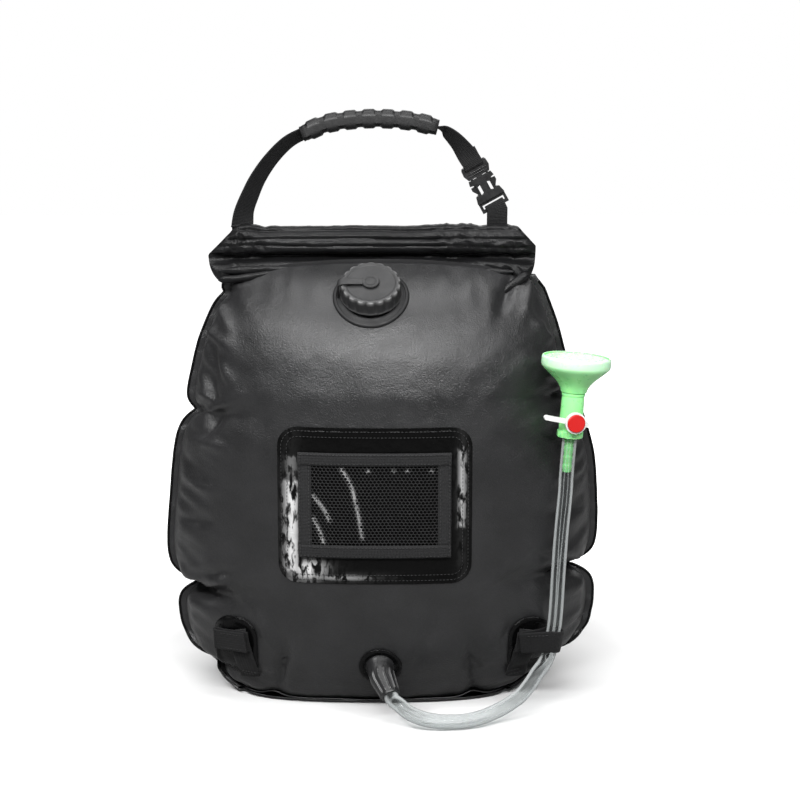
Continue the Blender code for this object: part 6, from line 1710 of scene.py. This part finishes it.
def build_corner(front, side, hose_centre):
    """A bottom corner: welded patch, webbing leg, and the keeper strap with its opening flap."""
    label = "left" if side < 0 else "right"

    def rim(x, z, share):
        spot = Vector((x / PATCH_WAVE_LENGTH, z / PATCH_WAVE_LENGTH, side))
        return PATCH_RIM_HEIGHT * near(share, *WELD_RIM_SHARES) + PATCH_WAVE * noise.noise(spot)

    wider, taller = PATCH_MARGIN
    outline = rounded_outline(PATCH_WIDTH + wider, PATCH_TALL + taller, PATCH_CORNER + wider, per_side=6)
    draped_patch(
        "weld_patch_" + label, front, outline, side * PATCH_X, PATCH_HEIGHT, PATCH_LIFT, PATCH_THICKNESS,
        "patch", ("corner_patch_" + label,), 14, rim,
    )
    top = (side * (LEG_X + LEG_SLANT), LEG_TOP)
    bottom = (side * (LEG_X - LEG_SLANT), LEG_BOTTOM)
    draped_tape(
        "webbing_leg_" + label, front, top, bottom, LEG_WIDTH, LEG_LIFT, WEBBING_THICKNESS, "webbing",
        ("corner_leg_" + label,), LEG_RELIEF,
    )
    for rise in LEG_STITCH_RISES:
        height = LEG_BOTTOM + rise
        places = [bottom[0] + LEG_WIDTH * 0.42 * (k / 4 - 1) for k in range(9)]
        line = [front.at(x, height, LEG_STITCH_LIFT) for x in places]
        stitches(f"leg_stitches_{label}_{round(height * 10000)}", line, "bag")

    above, _ = front.at(side * LEG_X, KEEPER_HEIGHT + WEBBING_WIDTH / 2)
    below, _ = front.at(side * LEG_X, KEEPER_HEIGHT - WEBBING_WIDTH / 2)
    slope = (above - below).normalized()
    outward = Vector((0, -slope.z, slope.y))
    sewn_end = PATCH_X + PATCH_WIDTH / 4
    sewn = []
    for step in range(KEEPER_SEWN_STEPS + 1):
        x = KEEPER_INNER_X + (sewn_end - KEEPER_INNER_X) * step / KEEPER_SEWN_STEPS
        sewn.append(front.at(side * x, KEEPER_HEIGHT)[0] + outward * KEEPER_LIFT)
    if hose_centre is None:
        radius = KEEPER_FOLD_RADIUS + WEBBING_THICKNESS / 2
        up = slope
        fold, _ = front.at(side * (PATCH_X + PATCH_WIDTH / 2), KEEPER_HEIGHT)
        centre = fold + outward * (KEEPER_LIFT + radius)
    else:
        radius = HOSE_RADIUS + 5 * GAP + WEBBING_THICKNESS / 2
        up = KEEPER_HOSE_DIRECTION
        centre = hose_centre
    reach = Y_AXIS.cross(up).normalized() * side
    out = reach.cross(up).normalized() * side
    split = math.asin(KEEPER_SLIT / radius)
    turns = [math.pi / 2 - (math.pi / 2 - split) * k / KEEPER_STEPS for k in range(KEEPER_STEPS + 1)]
    back_arc = [centre + reach * radius * math.cos(a) - out * radius * math.sin(a) for a in turns]
    front_arc = [centre + reach * radius * math.cos(a) + out * radius * math.sin(a) for a in reversed(turns)]
    widths = [*[slope] * len(sewn), *[up] * len(turns)]
    webbing(
        "keeper_sewn_" + label, [*sewn, *back_arc], widths, "bag", ("keeper_back_" + label,), last=out
    )
    landing = sewn[0] + outward * (WEBBING_THICKNESS + 2 * GAP) + X_AXIS * side * KEEPER_LANDING_OUT
    steps = [k / KEEPER_FREE_STEPS for k in range(1, KEEPER_FREE_STEPS + 1)]
    free = [front_arc[-1].lerp(landing, share) for share in steps]
    widths = [*[up] * len(turns), *[up.lerp(slope, share) for share in steps]]
    body = "keeper_" + label
    webbing(
        "keeper_cover_" + label, [*front_arc, *free], widths, body, ("keeper_flap_" + label,), first=out
    )
    for edge, name in ((-0.38, "low"), (0.38, "high")):
        line = []
        for share in (0.15, 0.4, 0.65, 0.9):
            place = front_arc[-1].lerp(landing, share) + slope * WEBBING_WIDTH * edge
            line.append((place + outward * WEBBING_THICKNESS * 0.52, outward))
        stitches(f"keeper_stitches_{label}_{name}", line, body)


# Outlet
OUTLET_LIFT = 0.0004
OUTLET_THICKNESS = 0.0012
OUTLET_RIM_HEIGHT = 0.0012
OUTLET_RING_HEIGHT = 0.001
OUTLET_RING_SHARES = (0.3, 0.25)
OUTLET_SQUASH_SHARE = 0.93
NOZZLE_STEPS = 30
NOZZLE_BEND_STEPS = 15
NOZZLE_RIBS = 12
NOZZLE_RIB_HEIGHT = 0.0011
NOZZLE_VALLEY = 0.0008
NOZZLE_COLLAR = 0.001
NOZZLE_LIP = 0.0006
NOZZLE_COLLAR_SHARES = (0.0, 0.08)
NOZZLE_LIP_SHARES = (0.97, 0.03)
NOZZLE_RIB_SHARES = (0.25, 0.93)


def build_outlet(front):
    """Weld flange and ribbed elbow nozzle."""
    wide, tall = OUTLET_FLANGE_RADIUS, OUTLET_FLANGE_RADIUS * OUTLET_SQUASH_SHARE
    outline = [(wide * math.cos(angle), tall * math.sin(angle)) for angle in round_angles(60)]

    def relief(x, z, share):
        rim = OUTLET_RIM_HEIGHT * near(share, *WELD_RIM_SHARES)
        return rim + OUTLET_RING_HEIGHT * near(share, *OUTLET_RING_SHARES)

    draped_patch(
        "outlet_weld", front, outline, OUTLET_PLACE.x, OUTLET_PLACE.z, OUTLET_LIFT, OUTLET_THICKNESS,
        "patch", ("outlet_flange",), 16, relief, slot="black_plastic",
    )
    line = [OUTLET_PLACE + OUTLET_DIRECTION * (WELD_THICKNESS - OUTLET_LIFT)]
    for index in range(NOZZLE_STEPS):
        share = min(1.0, (index + 1) / NOZZLE_BEND_STEPS)
        heading = OUTLET_DIRECTION.lerp(NOZZLE_DIRECTION, share).normalized()
        line.append(line[-1] + heading * NOZZLE_LENGTH / NOZZLE_STEPS)

    rib_start, rib_end = NOZZLE_RIB_SHARES

    def shape(index, angle):
        share = index / NOZZLE_STEPS
        base = NOZZLE_ROOT_RADIUS + (NOZZLE_TIP_RADIUS - NOZZLE_ROOT_RADIUS) * share - NOZZLE_VALLEY
        collar = NOZZLE_COLLAR * near(share, *NOZZLE_COLLAR_SHARES)
        collar += NOZZLE_LIP * near(share, *NOZZLE_LIP_SHARES)
        ribbed = clamp((share - rib_start) * 8) if share < rib_end else 0.0
        rib = NOZZLE_RIB_HEIGHT * max(0.0, math.cos(NOZZLE_RIBS * angle)) ** 2 * ribbed
        return (base + collar + rib) / NOZZLE_ROOT_RADIUS

    # pale marks on the rib crests: painted highlights
    def marks(index, angle):
        return 0.5 * max(0.0, math.cos(NOZZLE_RIBS * angle)) ** 4 * (0.3 < index / NOZZLE_STEPS < rib_end)

    sweep_tube(
        "elbow_nozzle", line, NOZZLE_ROOT_RADIUS, "black", "bag", ("outlet_nozzle",), 96, shape, marks
    )


# Handset: (radius, height) profiles in the handset's own frame
HEAD_INSIDE = (
    (0.0078, 0.0255), (0.0078, 0.0361), (0.004, 0.0361), (0.004, 0.038), (0.015, 0.043), (0.024, 0.048),
    (0.0278, 0.0525), (0.0285, 0.0559), (0.0289, 0.0573),
)
# how pale each row of the head's top rim is painted: a painted highlight
HEAD_HIGHLIGHT_SHARES = (1.0, 1.0, 0.95, 0.85, 0.35, 0.12)
FACE_PROFILE = (
    (0.0, 0.0571), (0.01, 0.0571), (0.02, 0.0569), (0.0262, 0.0566), (0.0282, 0.0561), (0.0282, 0.0541),
    (0.0, 0.0541),
)
JET_RING = 0.0078
JET_SIDES = 10
JET_PROFILE = ((0.0016, 0.0567), (0.0015, 0.0573), (0.0007, 0.0573), (0.0006, 0.0568))
VALVE_PROFILE = (
    (0.007, 0.0342), (0.0074, 0.0337), (0.0074, 0.0253), (0.01, 0.0252), (0.0104, 0.0247),
    (0.0104, 0.0222), (0.0099, 0.0216), (0.0101, 0.02), (0.0103, 0.01), (0.0105, 0.0), (0.0104, -0.0092),
    (0.0108, -0.0096), (0.0114, -0.0098), (0.0117, -0.0102), (0.0116, -0.015), (0.011, -0.0156),
    (0.004, -0.0156),
)
BARB_START = -0.0156
BARB_PITCH = 0.008
BARB_PROFILE = ((0.004, -0.0008), (0.0047, -0.0022), (0.0047, -0.0028), (0.0039, -0.0078))
VALVE_BORE = ((0.0028, -0.0476), (0.0028, 0.0342))
COLLAR_ROWS = (12, 13, 14)
COLLAR_RIBS = 14
COLLAR_RIB_DEPTH = 0.0005


def build_jets(matrix):
    """The small nubs on the shower head's face, in three rings round one."""
    jets = [(0.0, 0.0)]
    for ring in (1, 2, 3):
        for angle in round_angles(ring * 6):
            turned = angle + ring * 0.3
            jets.append((JET_RING * ring * math.cos(turned), JET_RING * ring * math.sin(turned)))
    points, faces = [], []
    for x, y in jets:
        base = len(points)
        for radius, height in JET_PROFILE:
            for angle in round_angles(JET_SIDES):
                place = (x + radius * math.cos(angle), y + radius * math.sin(angle), height)
                points.append(matrix @ Vector(place))
        faces += tube_faces(len(JET_PROFILE), JET_SIDES, base)
    mesh_piece("spray_jets", points, faces, "face", "head", smooth=50)


def build_handset():
    """Shower head, its face with jets, and the valve body with its barb."""
    matrix = Matrix.Translation(HANDSET_PLACE) @ Matrix.Rotation(HANDSET_LEAN, 4, "Y")
    flare = HEAD_RADIUS - HEAD_NECK_RADIUS
    outer = []
    for high, wide in HEAD_OUTLINE_SHARES:
        outer.append((HEAD_NECK_RADIUS + flare * wide, HEAD_LOW + HEAD_HEIGHT * high))

    # the head's top rim painted paler green: a painted highlight
    def pale(row, angle):
        return HEAD_HIGHLIGHT_SHARES[row] if row < len(HEAD_HIGHLIGHT_SHARES) else 0.0

    profile = [*outer, *HEAD_INSIDE]
    lathe("spray_head", profile, 96, matrix, "green", "head", ("shower_head",), wear_and_highlight=pale, smooth=50)
    lathe("spray_face", FACE_PROFILE, 96, matrix, "face", "head", ("shower_face",))
    build_jets(matrix)

    def knurl(row, angle):
        return -COLLAR_RIB_DEPTH * max(0.0, math.cos(COLLAR_RIBS * angle)) if row in COLLAR_ROWS else 0.0

    barbs = []
    for start in (BARB_START - BARB_PITCH * k for k in range(4)):
        barbs += [(radius, start + height) for radius, height in BARB_PROFILE]
    profile = [*VALVE_PROFILE, *barbs, *VALVE_BORE]
    lathe("valve_tube", profile, 112, matrix, "green", "bag", ("valve_body",), knurl, smooth=45)


def dress(node, look, bevel=0.0):
    """Gives a CAD piece its look and slightly rounded edges."""
    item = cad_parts[node]
    if not item.material_slots:
        item.data.materials.append(LOOKS[look])
    for slot in item.material_slots:
        slot.material = LOOKS[look]
    if bevel:
        round_edges(item, bevel, 2, math.radians(40))


# Handle
BUCKLE_ALONG = Vector((math.sin(BUCKLE_TILT), 0, -math.cos(BUCKLE_TILT)))
BUCKLE_ACROSS = Vector((math.cos(BUCKLE_TILT), 0, math.sin(BUCKLE_TILT)))
BAR_ANGLES = (0, 22, 45, 68, 90)
GRIP_SPACING = 0.00075
GRIP_SIDES = 48
GRIP_END = 0.004
GRIP_BAND_HEIGHT = 0.0007
PLUG_EDGE = 0.0006
# (across, along) of the plug's right half, from the loop bar to the tongue's tip
PLUG_HALF_OUTLINE = (
    (0.0113, 0.0046), (0.0125, 0.0066), (0.0129, 0.012), (0.0105, 0.0176), (0.0028, 0.0176),
    (0.0022, 0.032), (0.0012, 0.034),
)
PLUG_RIBS = (0.0118, 0.0142)
PLUG_RIB_INSET = 0.003
PLUG_RIB_WIDTH = 0.001
PLUG_RIB_HEIGHT = 0.0006
PLUG_RIB_EDGE = 0.0003
STRAP_LEAD = 0.004
STRAP_SHOW = 0.002
GRIP_TWIST_DEGREES = (58, 62)
END_BAR_CLEAR = 0.002
ANCHOR_LIFT = 0.0013
# (first, end, step) of the turn round the roll from underneath
ANCHOR_DEGREES = (163, 283, 7)
BUCKLE_EDGE = 0.0004
VALVE_EDGE = 0.0003


def buckle_point(along_by, across_by=0.0, depth=0.0):
    """A point of the buckle from its distances along, across and in depth."""
    return BUCKLE_PLACE + BUCKLE_ALONG * along_by + BUCKLE_ACROSS * across_by + Y_AXIS * depth


def wrap_bar(end, way, half_depth):
    """Points of webbing folded round a bar's edge, which faces along the buckle by the way."""
    clear = 2 * GAP + WEBBING_THICKNESS / 2
    points = []
    for side, corner in ((-1, BAR_ANGLES), (1, reversed(BAR_ANGLES))):
        for angle in map(math.radians, corner):
            depth = side * (half_depth + clear * math.cos(angle))
            points.append(buckle_point(end + way * clear * math.sin(angle), 0, depth))
    return points


def strap_widths(points, degrees):
    """Across directions of webbing twisted by the angles, none meaning that its face is to the front."""
    widths = []
    for along, degree in zip(tangents(points), degrees):
        normal = along.cross(Y_AXIS).normalized()
        angle = math.radians(degree)
        widths.append(normal * math.cos(angle) - Y_AXIS * math.sin(angle))
    return widths


def build_grip():
    """The moulded grip: finger bumps above and below a smooth middle band."""
    line, run = smooth_line(GRIP_LINE, GRIP_SPACING)
    line = [Vector(tuple(p)) for p in line]
    total = run[-1]
    points, marks = [], []
    for point, way, at in zip(line, tangents(line), run):
        normal = way.cross(Y_AXIS)
        ends = min(1.0, min(at, total - at) / GRIP_END)
        close = 0.8 + 0.2 * math.sin(ends * math.pi / 2)
        wave = math.cos(2 * math.pi * (at - total / 2) / GRIP_BUMP_PITCH)
        cut = clamp((0.1 - wave) * 1.1)
        cut = cut * cut * (3 - 2 * cut)
        for angle in round_angles(GRIP_SIDES):
            c, s = math.cos(angle), math.sin(angle)
            square = (abs(c) ** 4 + abs(s) ** 4) ** 0.25
            lean = clamp((abs(s) / square - 0.42) * 6)
            deep = GRIP_BUMP_DEPTH * cut * lean
            half_height = (GRIP_HALF_HEIGHT - deep) * close
            half_depth = (GRIP_HALF_DEPTH - deep * 0.7 - GRIP_BAND_HEIGHT * lean) * close
            points.append(point + Y_AXIS * half_depth * c / square + normal * half_height * s / square)
            # the front of the grip's middle band is painted paler as a painted highlight; the rest is faintly
            # paler
            marks.append(0.5 * (1 - lean) if c < 0 else 0.1)
    faces = tube_faces(len(line), GRIP_SIDES)
    mesh_piece("moulded_grip", points, faces, "grip", "handle", ("hand_grip",), smooth=50, wear_and_highlight=marks)


def moulded_plate(name, outline, half_thickness, replaced, bevel):
    """A flat moulded piece of the plug from its (across, along) outline, with rounded edges."""
    count = len(outline)
    points = []
    for depth in (-half_thickness, half_thickness):
        points += [buckle_point(along, across, depth) for across, along in outline]
    faces = [tuple(range(count)), tuple(count + k for k in reversed(range(count)))]
    faces += [(k, (k + 1) % count, count + (k + 1) % count, count + k) for k in range(count)]
    item = mesh_piece(name, points, faces, "moulded", "plug", replaced, smooth=40)
    round_edges(item, bevel, 3)


def build_buckle_male():
    """The buckle's plug: loop bar, shoulders, guide tongue and raised ribs."""
    right = PLUG_HALF_OUTLINE
    left = [(-across, along) for across, along in reversed(right)]
    outline = [left[-1], *right, *left[:-1]]
    moulded_plate("buckle_plug", outline, MALE_THICKNESS / 2, ("buckle_male",), PLUG_EDGE)
    reach = MALE_HALF_WIDTH - PLUG_RIB_INSET
    for number, low in enumerate(PLUG_RIBS):
        high = low + PLUG_RIB_WIDTH
        rib = ((-reach, low), (reach, low), (reach, high), (-reach, high))
        moulded_plate(f"plug_rib_{number}", rib, MALE_THICKNESS / 2 + PLUG_RIB_HEIGHT, (), PLUG_RIB_EDGE)


def build_left_strap():
    """The strap that twists from the roll into the grip's left end."""
    foot = Vector((HANDLE_LEFT_X, 0, HANDLE_AXIS_HEIGHT - FOOT_REACH))
    rough = [foot, *map(Vector, LEFT_STRAP_LINE), *map(Vector, GRIP_LINE[:2])]
    widths = strap_widths(rough, [*LEFT_TWIST_DEGREES, *GRIP_TWIST_DEGREES])
    points, across = smooth_strap(rough, widths)
    webbing("left_strap", points, across, "handle", ("handle_webbing",))


def build_loop_strap():
    """The strap from the grip's right end, sewn as a loop round the plug's bar."""
    grip_end, before = Vector(GRIP_LINE[-1]), Vector(GRIP_LINE[-2])
    exit_way = (grip_end - before).normalized()
    tail = grip_end + exit_way * WEBBING_THICKNESS
    layer = MALE_THICKNESS / 2 + 2 * GAP + WEBBING_THICKNESS / 2
    lead = [tail - exit_way * STRAP_LEAD, tail + exit_way * STRAP_SHOW, *map(Vector, RIGHT_STRAP_LINE)]
    loop = [
        buckle_point(LOOP_BAR_TOP / 2, 0, -layer - GAP),
        *wrap_bar(LOOP_BAR_TOP + LOOP_BAR_LENGTH, 1, MALE_THICKNESS / 2),
        buckle_point(LOOP_BAR_TOP, 0, layer),
        buckle_point(LOOP_TAIL_END, 0, layer + GAP),
    ]
    for index, point in enumerate(lead):
        point.y -= layer * max(0, index - 1) / (len(lead) - 1)
    widths = strap_widths([*lead, loop[0]], [90, *RIGHT_TWIST_DEGREES, 0])
    facing = BUCKLE_ACROSS * (1 if widths[-1].dot(BUCKLE_ACROSS) > 0 else -1)
    points, across = smooth_strap([*lead, loop[0]], [*widths[:-1], facing])
    points += loop[1:]
    across += [facing] * (len(loop) - 1)
    strap = webbing("buckle_loop", points, across, None, ("loop_strap",), STRAP_WIDTH)
    tuple(lead[1])
    tuple(loop[0])
    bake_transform(strap)


def build_lower_strap():
    """The strap from the roll round the end bar and back."""
    end = END_SLOT_END + END_BAR_LENGTH + END_BAR_CLEAR
    layer = END_FRAME_HALF_THICKNESS + 2 * GAP + WEBBING_THICKNESS / 2
    foot = Vector((HANDLE_RIGHT_X, 0, HANDLE_AXIS_HEIGHT - FOOT_REACH))
    foot_layer = WEBBING_THICKNESS * 0.7
    halfway = foot.lerp(buckle_point(end), 0.35)
    line = [
        foot - Y_AXIS * foot_layer,
        halfway - Y_AXIS * (foot_layer + layer) / 2,
        buckle_point(end, 0, -layer),
        *wrap_bar(END_SLOT_END, -1, END_FRAME_HALF_THICKNESS),
        buckle_point(end, 0, layer),
        halfway + Y_AXIS * (foot_layer + layer) / 2,
        foot + Y_AXIS * foot_layer,
    ]
    tilt = [0.0, 0.5, *[1.0] * (len(line) - 4), 0.5, 0.0]
    widths = [X_AXIS.lerp(BUCKLE_ACROSS, share) for share in tilt]
    webbing("lower_loop", line, widths, "handle", ("lower_strap",), STRAP_WIDTH)


def build_anchors():
    """The sewn webbing round the roll under both feet of the handle."""
    for label, x in (("left", HANDLE_LEFT_X), ("right", HANDLE_RIGHT_X)):
        points = []
        for degree in range(*ANCHOR_DEGREES):
            depth, height = roll_surface(math.radians(degree), ANCHOR_LIFT)
            points.append(Vector((x, depth, ROLL_HEIGHT + height)))
        sides = [X_AXIS] * len(points)
        webbing("sewn_anchor_" + label, points, sides, "bag", ("strap_anchor_" + label,))


build_stage()
build_hose()
front = Front(build_panel(True))
build_panel(False)
build_roll()
build_filler(front)
build_window(front)
build_corner(front, -1, None)
build_corner(front, 1, HOSE_AT_KEEPER)
build_outlet(front)
build_handset()
build_grip()
build_left_strap()
build_loop_strap()
build_lower_strap()
build_anchors()
build_buckle_male()
for node in ("buckle_female", "prong_left", "prong_right"):
    dress(node, "moulded", BUCKLE_EDGE)
for node, look in (("valve_lever", "white"), ("valve_retainer", "white"), ("valve_knob", "red")):
    dress(node, look, VALVE_EDGE)
for node in ("cap_gasket", "head_seal"):
    dress(node, "rubber")

cad_size, visual_size = [[list(map(float, corner)) for corner in box] for box in (cad_box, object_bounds())]
